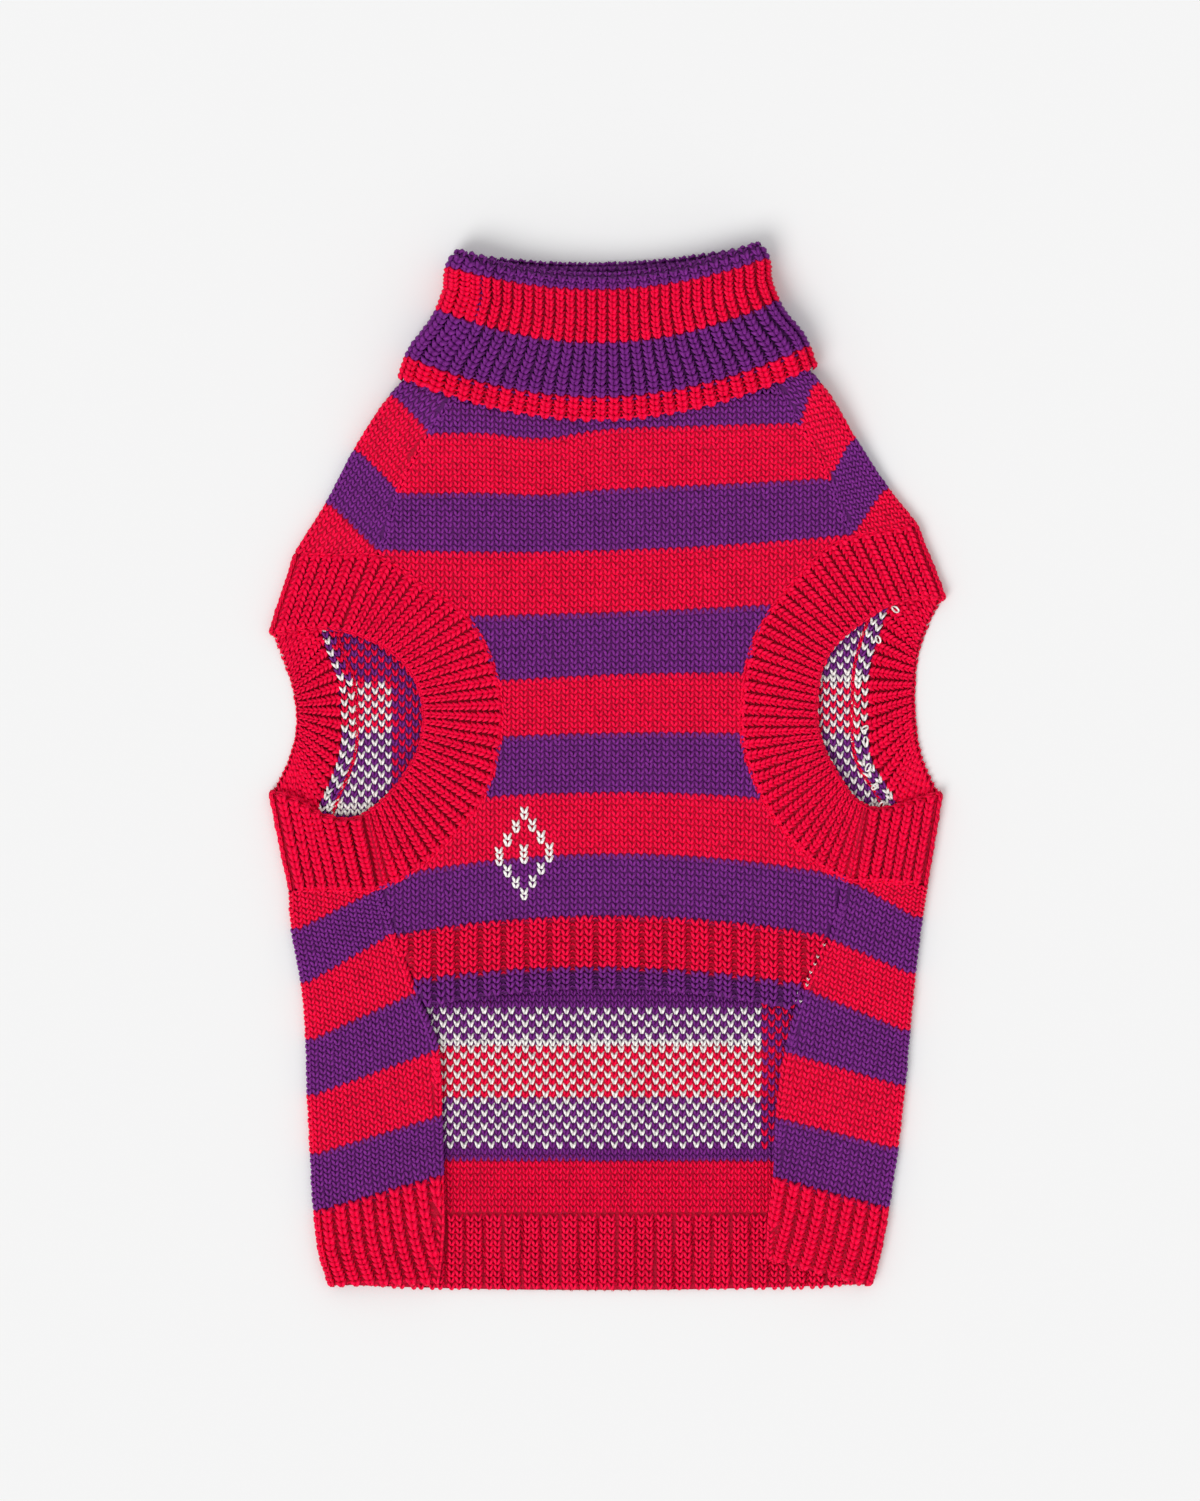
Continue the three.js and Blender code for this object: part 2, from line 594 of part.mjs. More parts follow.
// One loop of the collar: its front from left to right, the right end, the back and the left end
function collarLoop(row) {
  const frontHeight = (x) => mix(row.front, row.side, (x / row.reach) ** 2) + TILT * x;
  const backHeight = (x) => mix(row.back, row.side, (x / row.reach) ** 2) + TILT * x;
  const over = TURNED_OVER * row.turned;
  const flat = row.reach - COLLAR_END;
  const frontSteps = 2 * COLLAR_RIBS.front;
  const sideSteps = 2 * COLLAR_RIBS.side;
  const loop = [];
  const addFlat = (from, to, yAt, zAt) => {
    for (let i = 0; i <= frontSteps; i += 1) {
      const x = mix(from, to, i / frontSteps);
      loop.push(new THREE.Vector3(x, yAt(x), zAt(yAt(x))));
    }
  };
  const addEnd = (outwards) => {
    const y = frontHeight(outwards * row.reach);
    const top = upperHeight(frontHeight(outwards * flat)) + over;
    const bottom = LOWER_NECK - over;
    for (let i = 1; i < sideSteps; i += 1) {
      const turn = (Math.PI * i) / sideSteps;
      const fromTop = outwards > 0 ? turn : Math.PI - turn;
      const x = outwards * (flat + (row.reach - flat) * Math.sin(turn));
      const z = (top + bottom) / 2 + ((top - bottom) / 2) * Math.cos(fromTop);
      const frontShare = (1 + Math.cos(fromTop)) / 2;
      const yHere = mix(backHeight(x), frontHeight(x), frontShare);
      loop.push(new THREE.Vector3(x, Math.min(yHere, y), z));
    }
  };
  addFlat(-flat, flat, frontHeight, (y) => upperHeight(y) + over);
  addEnd(1);
  addFlat(flat, -flat, backHeight, () => LOWER_NECK - over);
  addEnd(-1);
  return loop;
}

function makeCollar(rows, grow = 0) {
  const sheet = newSheet();
  let below = null;
  for (const row of rows) {
    const here = addRow(sheet, collarLoop(row), (column) => grow === 0 && column % 2 === 1);
    if (below) joinLoops(sheet, here, below);
    below = here;
  }
  return thicken(sheet, RIB_WALL + (grow > 0 ? NECK_ROOM : 0), false);
}

const [neckRow, tubeRow] = COLLAR_ROWS;
const lowered = { front: neckRow.front - SEAM, back: neckRow.back - SEAM, side: neckRow.side - SEAM };
const neckSpace = makeCollar([{ ...neckRow, ...lowered }, tubeRow], SEAM);
const [leftBandSpace, leftFoldSpace, rightBandSpace, rightFoldSpace] = [
  makeArmband('left', -1, 1.5 * SEAM, BAND_ROOM), makeArmband('left', -1, 1.5 * SEAM, FOLD_ROOM),
  makeArmband('right', 1, 1.5 * SEAM, BAND_ROOM), makeArmband('right', 1, 1.5 * SEAM, FOLD_ROOM),
];
const leftSleeveSpace = makeSleeve('left', -1, SEAM);
const rightSleeveSpace = makeSleeve('right', 1, SEAM);
const aroundPanels = [
  neckSpace, leftBandSpace, leftFoldSpace, rightBandSpace, rightFoldSpace,
  leftSleeveSpace, rightSleeveSpace,
];

const sweater = new THREE.Group();
sweater.add(piece('back', trim(makeBack(), aroundPanels), PURPLE));
sweater.add(piece('belly', trim(makeBelly(), aroundPanels), RED));
sweater.add(piece('sleeve_left', trim(makeSleeve('left', -1), [neckSpace, leftBandSpace]), RED));
sweater.add(piece('sleeve_right', trim(makeSleeve('right', 1), [neckSpace, rightBandSpace]), RED));
sweater.add(piece('armband_left', makeArmband('left', -1), RED));
sweater.add(piece('armband_right', makeArmband('right', 1), RED));
sweater.add(piece('collar', makeCollar(COLLAR_ROWS), PURPLE));

const box = new THREE.Box3().setFromObject(sweater);
sweater.position.set(-(box.min.x + box.max.x) / 2, -(box.min.y + box.max.y) / 2, -box.min.z);

export default sweater;
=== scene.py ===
# %% [markdown]
# # A striped dog sweater, laid flat
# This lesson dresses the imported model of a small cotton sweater: a folded rib collar, two raglan
# sleeves, two ribbed armbands, a short belly panel and a back panel that wraps round both sides.
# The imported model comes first, because it fixes every place and size. Nothing here moves it.

# %% Load the frame
import math

import bpy
import numpy as np
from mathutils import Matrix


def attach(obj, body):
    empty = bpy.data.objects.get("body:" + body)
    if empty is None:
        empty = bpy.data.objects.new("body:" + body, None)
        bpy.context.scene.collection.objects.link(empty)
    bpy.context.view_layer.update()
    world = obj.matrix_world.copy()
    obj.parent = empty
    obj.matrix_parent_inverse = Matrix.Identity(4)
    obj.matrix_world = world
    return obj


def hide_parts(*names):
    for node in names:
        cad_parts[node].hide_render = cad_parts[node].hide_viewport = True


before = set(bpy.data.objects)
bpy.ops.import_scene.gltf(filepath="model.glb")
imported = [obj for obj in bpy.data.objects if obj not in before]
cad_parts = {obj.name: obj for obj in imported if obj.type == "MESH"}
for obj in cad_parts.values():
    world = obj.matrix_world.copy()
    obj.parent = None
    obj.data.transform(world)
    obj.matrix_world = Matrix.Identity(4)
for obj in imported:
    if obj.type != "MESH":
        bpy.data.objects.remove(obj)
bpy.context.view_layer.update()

# %% [markdown]
# ## Sizes of the yarn and the cloth
# Every measure is in millimetres and turned to metres only when a mesh is made. A wale is one
# column of stitches and a course is one row of them. A chunky two-ply cotton on this gauge gives
# wales 3.5 mm wide and courses 2.57 mm high. The cloth's middle lies at two heights, one for the
# layer that rests and one for the layer on top, and both rise under the collar.

# %% Sizes
MM = 0.001
WALE = 3.5
COURSE = 2.57
CLOTH = 2.2
RIB_WALL = 1.8
STRIPE_COURSES = 10
LOWER_REST = 1.1
LOWER_NECK = 3.4
UPPER_REST = 4.5
UPPER_NECK = 9.6
UPPER_RIM = 11.6
TURNED_OVER = 2.5
NECK_TILT = 0.026
NECK_REACH = 80.0
BAND_LIFT = 0.9
LOWER_RISE_FROM, LOWER_RISE_TO = 128.0, 146.0
CHEST_RISE_FROM, CHEST_RISE_TO = 115.0, 165.0
RIM_RISE_FROM, RIM_RISE_TO = 160.0, 190.0
LEFT = -1
RIGHT = 1
SIDE_NAMES = {LEFT: "left", RIGHT: "right"}


def smooth(value, low, high):
    share = np.clip((value - low) / (high - low), 0.0, 1.0)
    return share * share * (3.0 - 2.0 * share)


def lower_height(y):
    return LOWER_REST + (LOWER_NECK - LOWER_REST) * smooth(y, LOWER_RISE_FROM, LOWER_RISE_TO)


def upper_height(y):
    chest = (UPPER_NECK - UPPER_REST) * smooth(y, CHEST_RISE_FROM, CHEST_RISE_TO)
    collar = (UPPER_RIM - UPPER_NECK) * smooth(y, RIM_RISE_FROM, RIM_RISE_TO)
    return UPPER_REST + chest + collar


# %% [markdown]
# ## The knitter's chart
# Each table has named columns and one row for each section of a piece. The course column counts
# knitted rows, so the stripes, which are ten courses high, fall out of it by themselves. Between
# two sections the values follow a smooth curve, as the cloth does.

# %% Tables and how they are read
def table(columns, *rows):
    values = np.array(rows, dtype=float)
    return {name: values[:, i] for i, name in enumerate(columns.split())}


def read(chart, column, key, at="course"):
    """The column's value at a course, on a smooth curve through the table's rows."""
    knots = chart[at]
    values = chart[column]
    slopes = np.gradient(values, knots)
    key = np.clip(np.asarray(key, dtype=float), knots[0], knots[-1])
    i = np.clip(np.searchsorted(knots, key, side="right") - 1, 0, len(knots) - 2)
    step = knots[i + 1] - knots[i]
    t = (key - knots[i]) / step
    start = (2 * t**3 - 3 * t**2 + 1) * values[i] + (t**3 - 2 * t**2 + t) * step * slopes[i]
    end = (3 * t**2 - 2 * t**3) * values[i + 1] + (t**3 - t**2) * step * slopes[i + 1]
    return start + end


BELLY = table(
    "course left middle right",
    (-12, -97.2, -92.7, -98.0),
    (-8, -86.2, -83.5, -87.5),
    (0, -65.6, -62.0, -65.6),
    (10, -40.1, -35.9, -39.2),
    (20, -12.7, -10.1, -12.1),
    (30, 12.5, 14.8, 14.6),
    (40, 35.8, 39.3, 40.2),
    (50, 64.0, 65.5, 68.2),
    (60, 91.0, 91.6, 94.6),
    (70, 115.8, 117.4, 120.0),
    (80, 141.0, 142.8, 144.4),
    (90, 166.0, 168.0, 169.0),
)
BELLY_REACH = 60.0

WRAP_COLUMNS = "course edge_x edge_y fold_x fold_y under_x under_y"
BACK = {
    LEFT: table(
        WRAP_COLUMNS,
        (-13, -70.5, -216.5, -117.0, -217.4, 0.0, -219.8),
        (-6, -68.4, -195.0, -121.6, -203.0, 0.0, -204.0),
        (0, -68.7, -171.0, -123.6, -186.0, 0.0, -188.0),
        (10, -69.4, -145.7, -125.0, -162.0, 0.0, -162.0),
        (20, -71.0, -118.0, -126.2, -137.3, 0.0, -138.0),
        (30, -80.0, -94.0, -126.9, -113.8, 0.0, -113.0),
        (40, -89.3, -68.9, -128.9, -90.0, 0.0, -88.0),
        (50, -95.0, -50.0, -132.9, -67.6, 0.0, -63.0),
        (57, -98.0, -36.0, -134.0, -51.6, 0.0, -46.0),
    ),
    RIGHT: table(
        WRAP_COLUMNS,
        (-13, 66.5, -206.0, 111.0, -217.2, 0.0, -219.8),
        (-6, 67.3, -189.0, 115.2, -202.0, 0.0, -204.0),
        (0, 69.5, -171.8, 118.4, -184.4, 0.0, -188.0),
        (10, 70.6, -146.6, 122.2, -159.2, 0.0, -162.0),
        (20, 74.5, -119.0, 125.2, -133.0, 0.0, -138.0),
        (30, 82.0, -92.4, 127.2, -110.0, 0.0, -113.0),
        (40, 93.0, -71.4, 129.5, -86.0, 0.0, -88.0),
        (50, 99.2, -45.8, 132.5, -62.6, 0.0, -63.0),
        (57, 102.0, -32.0, 134.4, -49.6, 0.0, -46.0),
    ),
}
SLEEVE = {
    LEFT: table(
        WRAP_COLUMNS,
        (-8, -108.3, 69.9, -131.7, 90.2, -126.0, 74.0),
        (0, -95.6, 90.2, -119.0, 110.5, -110.0, 106.0),
        (10, -87.7, 116.4, -107.3, 132.8, -98.0, 126.0),
        (20, -74.5, 141.0, -92.2, 155.4, -81.0, 152.0),
        (26, -60.5, 161.0, -80.5, 168.0, -70.0, 168.0),
    ),
    RIGHT: table(
        WRAP_COLUMNS,
        (-8, 116.5, 77.5, 131.0, 101.5, 124.0, 88.0),
        (0, 102.9, 97.9, 118.8, 116.8, 109.0, 111.0),
        (10, 93.3, 121.1, 105.2, 137.5, 96.0, 131.0),
        (20, 80.9, 144.9, 90.1, 160.9, 80.0, 156.0),
        (25, 68.0, 163.0, 80.5, 171.0, 70.0, 170.0),
    ),
}
COLLAR = table(
    "course reach front back side turned",
    (0, 79.5, 152.9, 161.6, 169.7, 0.0),
    (11, 66.5, 180.0, 186.0, 196.0, 0.0),
    (20, 61.5, 203.0, 208.5, 214.0, 0.0),
    (21.3, 63.3, 205.8, 211.0, 217.2, 0.5),
    (22.6, 65.2, 203.0, 208.5, 214.0, 1.0),
    (29, 67.2, 187.0, 191.0, 202.0, 1.0),
    (34.5, 72.5, 174.0, 177.0, 189.5, 1.0),
    (40, 81.5, 160.0, 163.5, 178.0, 1.0),
    (45.5, 86.3, 146.6, 150.5, 166.4, 1.0),
)
COLLAR_RIBS = {"front": 28, "end": 4}
BAND_RIBS = {"belly": 48, "back": 28, "fold": 2}
BAND_COURSES = 13

# %% [markdown]
# ## The armhole curves
# The seam curve joins an armband to the panels and the edge curve is its free edge. Each is a
# handful of points on a smooth curve, once on top and once underneath. The same seam also cuts
# the belly and back panels, so that the stitches end where the armband begins. The rib runs say
# which share of the seam's length meets which share of the edge's length.

# %% Points of the armholes
ARMHOLES = {
    LEFT: {
        "belly_seam": [(-131.7, 89.6), (-114, 89.1), (-96.5, 88.6), (-78.8, 77.3), (-59, 63.2),
                       (-48.2, 43), (-44.7, 24.4), (-46.3, 6), (-52.3, -12.2), (-65.5, -29),
                       (-82, -43.2), (-96.6, -50.4), (-115, -51), (-134, -51)],
        "belly_edge": [(-142.2, 57), (-131, 58.8), (-117, 59.2), (-103, 55.8), (-89.5, 48.6),
                       (-80.4, 37.3), (-76.9, 24.4), (-78.6, 9), (-86.5, -5.5), (-97, -16.3),
                       (-108, -22), (-122, -19), (-133, -13.2), (-142.2, -10.5)],
        "back_seam": [(-134, -51), (-129, -35), (-121, -15.1), (-113, 6), (-112, 22.5),
                      (-113.2, 36), (-118.5, 50), (-121.8, 64), (-122.4, 75), (-122.9, 84.6),
                      (-131.7, 89.6)],
        "back_edge": [(-142.2, -10.5), (-136.3, 2), (-132.9, 14), (-132.5, 24), (-134.6, 36),
                      (-138, 46), (-142.2, 57)],
        "rib_runs": [(0, 0), (0.137, 0.185), (0.476, 0.463), (0.85, 0.76), (1, 1)],
    },
    RIGHT: {
        "belly_seam": [(130.4, 101.8), (117.4, 99.2), (104.8, 97), (93.5, 93), (80.9, 80.6),
                       (69.1, 66.4), (60.5, 50), (57.2, 31), (56.5, 14.3), (60, 0),
                       (67.5, -17), (80.9, -34), (100, -46.8), (117, -47.4), (134.4, -49.2)],
        "belly_edge": [(142.2, 71.5), (131, 71.9), (120, 69.6), (108.2, 63), (98.1, 55),
                       (90.7, 44.9), (87.6, 30), (87.9, 17), (91, 7), (96.5, -3.5),
                       (104, -13.5), (113, -17.4), (128, -14.6), (140.7, -11)],
        "back_seam": [(134.4, -49.2), (129, -34), (121.6, -14.3), (111.5, 3), (109.6, 16),
                      (109.8, 30), (110.5, 42), (113.6, 54), (118, 67), (120.4, 80),
                      (121.9, 92.2), (130.4, 101.8)],
        "back_edge": [(140.7, -11), (134.4, 3), (131.5, 18), (131, 32), (132.4, 47),
                      (136.3, 60), (142.2, 71.5)],
        "rib_runs": [(0, 0), (0.108, 0.15), (0.534, 0.56), (0.877, 0.805), (1, 1)],
    },
}


# %% Smooth curves through the points
SEAM_STEPS = 320
CURVE_STEPS = 24
OUTSIDE_REACH = 160


def curve(points, steps):
    """Evenly spaced points on a centripetal Catmull-Rom curve."""
    points = np.array(points, dtype=float)
    ends = (2 * points[0] - points[1], 2 * points[-1] - points[-2])
    points = np.vstack([ends[0], points, ends[1]])
    drawn = []
    for a, b, c, d in zip(points[:-3], points[1:-2], points[2:-1], points[3:]):
        t0 = 0.0
        t1 = t0 + math.sqrt(np.linalg.norm(b - a))
        t2 = t1 + math.sqrt(np.linalg.norm(c - b))
        t3 = t2 + math.sqrt(np.linalg.norm(d - c))
        for t in np.linspace(t1, t2, CURVE_STEPS, endpoint=False):
            ab = (t1 - t) / (t1 - t0) * a + (t - t0) / (t1 - t0) * b
            bc = (t2 - t) / (t2 - t1) * b + (t - t1) / (t2 - t1) * c
            cd = (t3 - t) / (t3 - t2) * c + (t - t2) / (t3 - t2) * d
            low = (t2 - t) / (t2 - t0) * ab + (t - t0) / (t2 - t0) * bc
            high = (t3 - t) / (t3 - t1) * bc + (t - t1) / (t3 - t1) * cd
            drawn.append((t2 - t) / (t2 - t1) * low + (t - t1) / (t2 - t1) * high)
    drawn.append(points[-2])
    return placed(np.array(drawn), np.linspace(0.0, 1.0, steps + 1))


def placed(line, shares):
    """Points at given shares of a line's length."""
    lengths = np.linalg.norm(np.diff(line, axis=0), axis=1)
    along = np.concatenate([[0.0], np.cumsum(lengths)]) / lengths.sum()
    return np.stack([np.interp(shares, along, line[:, k]) for k in range(line.shape[1])], 1)


def inside(outline, x, y):
    """Which of the points lie inside a closed outline."""
    x0, y0 = outline[:, 0], outline[:, 1]
    x1, y1 = np.roll(x0, -1), np.roll(y0, -1)
    hits = np.zeros(np.shape(x), dtype=int)
    for ax, ay, bx, by in zip(x0, y0, x1, y1):
        crosses = (ay > y) != (by > y)
        with np.errstate(divide="ignore", invalid="ignore"):
            at = ax + (y - ay) * (bx - ax) / (by - ay)
        hits += crosses & (x < at)
    return hits % 2 == 1


SEAMS = {
    side: {name: curve(points, SEAM_STEPS) for name, points in armhole.items() if name != "rib_runs"}
    for side, armhole in ARMHOLES.items()
}
# An armhole closed well outside the sweater, so that it also cuts the cloth on the fold
HOLES = {
    side: np.vstack([seam["belly_seam"],
                     [(side * OUTSIDE_REACH, -50), (side * OUTSIDE_REACH, 90 - 6 * side)]])
    for side, seam in SEAMS.items()
}

# %% [markdown]
# ## Outlines of the panels
# A panel's stitches are laid on one even lattice, and the outline then cuts them, as a cutter
# trims knitted cloth to its pattern. The belly's outline runs up its side seam, round the left
# armhole, up the raglan seam, across the neck and back down the other side.

# %% Outlines
HEM_CORNERS = {LEFT: (-72.6, -101.0), RIGHT: (79.0, -101.0)}
FLAP_LAP = (28, 49.5)
UNDER_THE_FOLD = 48
FOLD_ALLOWANCE = 30
BELLY_NECK = (-58, 60)
BACK_NECK = (-69, 69)
NECK_POINTS = 20


def neck_line(x, middle, rise):
    return middle + rise * (x / NECK_REACH) ** 2 + NECK_TILT * x


def neck_front(x):
    return neck_line(x, 152.3, 16.5)


def neck_back(x):
    return neck_line(x, 161.0, 7.8)


def columns_of(chart, first, second, low, high, steps=12):
    course = np.linspace(low, high, steps)
    return np.stack([read(chart, first, course), read(chart, second, course)], 1)


def belly_side(side):
    top = SLEEVE[side]["course"][-1]
    low_corner = SEAMS[side]["belly_seam"][-1]
    flap = columns_of(BACK[side], "edge_x", "edge_y", *FLAP_LAP)
    seam = SEAMS[side]["belly_seam"][::-1]
    raglan = columns_of(SLEEVE[side], "edge_x", "edge_y", 0, top)
    keep = (seam[:, 1] > flap[-1, 1]) & (seam[:, 1] < raglan[0, 1] - 1)
    keep &= np.abs(seam[:, 0]) < abs(low_corner[0]) - FOLD_ALLOWANCE
    return np.vstack([flap, seam[keep], raglan])


neck_x = np.linspace(*BELLY_NECK, NECK_POINTS)
BELLY_OUTLINE = np.vstack([
    [HEM_CORNERS[LEFT]], belly_side(LEFT), np.stack([neck_x, neck_front(neck_x)], 1),
    belly_side(RIGHT)[::-1], [HEM_CORNERS[RIGHT]],
])


def back_side(side):
    top = SLEEVE[side]["course"][-1]
    return np.vstack([SEAMS[side]["back_seam"][:-UNDER_THE_FOLD],
                      columns_of(SLEEVE[side], "under_x", "under_y", 0, top)])


back_x = np.linspace(*BACK_NECK, NECK_POINTS)
BACK_OUTLINE = np.vstack([
    back_side(LEFT), np.stack([back_x, neck_back(back_x)], 1), back_side(RIGHT)[::-1],
])

# %% [markdown]
# ## Surfaces
# Each piece has one function that turns its own two directions, across the wales and along the
# courses, into points in space. The wrapped pieces measure their first direction from the fold:
# above zero it runs over the top, and below zero it goes round the fold and underneath.

# %% Surfaces of the flat and wrapped pieces
# The belly's top stripes hang down in one place, left of the middle
SAG_DEPTH, SAG_X, SAG_WIDTH = 3.4, -27.0, 19.0
SAG_FROM, SAG_TO = 58, 82


def belly_surface(x, course):
    left, middle, right = [read(BELLY, name, course) for name in ("left", "middle", "right")]
    share = x / BELLY_REACH
    sag = SAG_DEPTH * smooth(course, SAG_FROM, SAG_TO) * np.exp(-((x - SAG_X) / SAG_WIDTH) ** 2)
    y = middle + (right - left) / 2 * share + ((left + right) / 2 - middle) * share**2 - sag
    return np.stack([x + 0 * course, y, upper_height(y)], -1)


def course_at(x, y):
    """The belly's course at each place, read back from its surface."""
    courses = np.arange(-12, 90.5, 0.5)
    heights = belly_surface(np.asarray(x)[:, None], courses[None, :])[..., 1]
    return np.array([np.interp(value, row, courses) for value, row in zip(y, heights)])


def wrap_surface(chart, side, across, course):
    """A point on cloth folded over the outline, across millimetres in from the fold."""
    across, course = np.broadcast_arrays(np.asarray(across, float), np.asarray(course, float))
    fold_y = read(chart, "fold_y", course)
    upper, lower = upper_height(fold_y), lower_height(fold_y)
    radius = (upper - lower) / 2
    centre_x = read(chart, "fold_x", course) - side * (CLOTH / 2 + radius)
    points = np.empty(across.shape + (3,))
    for face in ("edge", "under"):
        to_x = read(chart, face + "_x", course) - centre_x
        to_y = read(chart, face + "_y", course) - fold_y
        length = np.hypot(to_x, to_y)
        run = across if face == "edge" else -across - math.pi * radius
        x = centre_x + to_x / length * run
        y = fold_y + to_y / length * run
        height = upper_height(y) if face == "edge" else lower_height(y)
        flat = np.stack([x, y, height], -1)
        points = np.where((run >= 0)[..., None], flat, points)
    turn = np.clip(-across / radius, 0.0, math.pi)
    bend = np.stack([centre_x + side * radius * np.sin(turn), fold_y,
                     (upper + lower) / 2 + radius * np.cos(turn)], -1)
    on_bend = (across < 0) & (across > -math.pi * radius)
    return np.where(on_bend[..., None], bend, points)


def wrap_lengths(chart, side, course):
    """The bend's radius, and how far a wrapped course runs on top and underneath."""
    fold_x, fold_y = read(chart, "fold_x", course), read(chart, "fold_y", course)
    radius = (upper_height(fold_y) - lower_height(fold_y)) / 2
    centre = fold_x - side * (CLOTH / 2 + radius)
    over, below = [np.hypot(read(chart, face + "_x", course) - centre,
                            read(chart, face + "_y", course) - fold_y)
                   for face in ("edge", "under")]
    return radius, over, below


def lower_surface(x, y):
    return np.stack([x + 0 * y, y + 0 * x, lower_height(y + 0 * x)], -1)


# %% [markdown]
# The armband and the collar are closed rings. A ring is worked out as one loop of points at a
# time: round the top, over the lower fold, back underneath and over the upper fold.

# %% Surfaces of the rings
# An armband's belly side runs out into the folds over a twelfth of its length, its back over a sixth
FOLD_BLEND = {"belly": 12, "back": 6}
COLLAR_END = 5.0


def near_ends(along, parts):
    """1 at both ends of a line, falling to 0 over one of so many parts of it."""
    return np.maximum(0.0, 1 - np.minimum(along, 1 - along) * parts)


def fold_points(x, y, side, wall, steps):
    upper, lower = upper_height(y), lower_height(y)
    radius = (upper - lower) / 2
    centre = x - side * (wall / 2 + radius)
    turn = np.linspace(0.0, math.pi, steps + 1)
    return np.stack([centre + side * radius * np.sin(turn), y + 0 * turn,
                     (upper + lower) / 2 + radius * np.cos(turn)], 1)


def band_loop(side, share, per_rib=2):
    counts = {name: per_rib * ribs for name, ribs in BAND_RIBS.items()}
    lines = {}
    for name, line in SEAMS[side].items():
        places = np.linspace(0.0, 1.0, counts[name.split("_")[0]] + 1)
        if name == "belly_edge":
            runs = np.array(ARMHOLES[side]["rib_runs"])
            places = np.interp(places, runs[:, 0], runs[:, 1])
        lines[name] = placed(line, places)
    top = lines["belly_seam"] * (1 - share) + lines["belly_edge"] * share
    under = lines["back_seam"] * (1 - share) + lines["back_edge"] * share
    upper_fold = fold_points(top[0, 0], top[0, 1], side, RIB_WALL, counts["fold"])
    lower_fold = fold_points(top[-1, 0], top[-1, 1], side, RIB_WALL, counts["fold"])
    inset = lower_fold[0, 0] - top[-1, 0]
    along = np.linspace(0.0, 1.0, len(top))
    near_fold = near_ends(along, FOLD_BLEND["belly"])
    lift = share * BAND_LIFT * np.sin(math.pi * along)
    over = np.stack([top[:, 0] + inset * near_fold, top[:, 1], upper_height(top[:, 1]) + lift], 1)
    along = np.linspace(0.0, 1.0, len(under))
    near_fold = near_ends(along, FOLD_BLEND["back"])
    x = under[:, 0] + inset * np.maximum(near_fold, share)
    below = np.stack([x, under[:, 1], np.full(len(under), RIB_WALL / 2)], 1)
    return np.vstack([over, lower_fold[1:-1], below, upper_fold[1:-1][::-1]])


def collar_loop(course, per_rib=2):
    reach, front, back, side, turned = (
        float(read(COLLAR, name, course)) for name in ("reach", "front", "back", "side", "turned"))
    turned = min(max(turned, 0.0), 1.0)
    over = TURNED_OVER * turned
    flat = reach - COLLAR_END
    front_x = np.linspace(-flat, flat, per_rib * COLLAR_RIBS["front"] + 1)

    def front_y(x):
        return front + (side - front) * (x / reach) ** 2 + NECK_TILT * x

    def back_y(x):
        return back + (side - back) * (x / reach) ** 2 + NECK_TILT * x

    def end(outwards):
        steps = per_rib * COLLAR_RIBS["end"]
        turn = np.linspace(0.0, math.pi, steps + 1)[1:-1]
        from_top = turn if outwards > 0 else math.pi - turn
        x = outwards * (flat + (reach - flat) * np.sin(turn))
        top = upper_height(front_y(outwards * flat)) + over
        bottom = LOWER_NECK - over
        z = (top + bottom) / 2 + (top - bottom) / 2 * np.cos(from_top)
        mixed = back_y(x) + (front_y(x) - back_y(x)) * (1 + np.cos(from_top)) / 2
        return np.stack([x, np.minimum(mixed, front_y(outwards * reach)), z], 1)

    over_top = np.stack([front_x, front_y(front_x), upper_height(front_y(front_x)) + over], 1)
    back_x = front_x[::-1]
    beneath = np.stack([back_x, back_y(back_x), np.full(len(back_x), LOWER_NECK - over)], 1)
    return np.vstack([over_top, end(1), beneath, end(-1)])


# %% [markdown]
# ## The cotton
# The yarn is combed and mercerised cotton, two plies twisted together, dyed and then knitted. It
# looks matt and full, with flecks of light and shade where fibres lie on top, and a faint twist
# along each leg of a stitch. The twist is a bump, and it is also painted into the colour: painted
# shade in the grooves between the plies and painted highlight on their crowns. The yarn's colour
# comes from an attribute on each vertex, so one finish serves every stripe. The fibres are about
# 0.02 mm thick, far too fine to show, so the flecks are drawn about 0.7 mm across. The patches of
# wear are about 7 mm across, two stitches wide.
#
# Behind the raised stitches the cloth is closed by its own purl loops. That ground is a thin
# shell on the solid's form. Little light reaches it, so its colour is the yarn's painted darker than
# the stitches, as painted shade, and the colour attribute of the ground cloth carries that painted shade.

# %% Colours and materials
def hex_linear(text):
    """An sRGB hex colour as linear values."""
    channels = [int(text[i:i + 2], 16) / 255 for i in (1, 3, 5)]
    return [c / 12.92 if c <= 0.04045 else ((c + 0.055) / 1.055) ** 2.4 for c in channels]


RED, PURPLE, WHITE = 0, 1, 2
YARNS = np.array([hex_linear(code) for code in ("#fc0042", "#7c2888", "#fffaf6")])
# How much darker the ground cloth's colour is painted than its yarn: painted shade
GROUND_PAINTED_SHADE = 0.47
WEAR_SCALE = 140.0
FLECK_SCALE = 1500.0
TWISTS_ALONG_A_LEG = 1.1
TWIST_ANGLE = 38
FIBRE_HEIGHT = 0.00035


def node(tree, kind, settings=None, **links):
    """Adds a node, with its settings, its input values and its links."""
    made = tree.nodes.new(kind)
    for name, value in (settings or {}).items():
        setattr(made, name, value)
    for name, value in links.items():
        key = int(name[1:]) if name[1:].isdigit() else name.replace("_", " ")
        socket = made.inputs[key]
        if isinstance(value, bpy.types.NodeSocket):
            tree.links.new(value, socket)
        else:
            socket.default_value = value
    return made


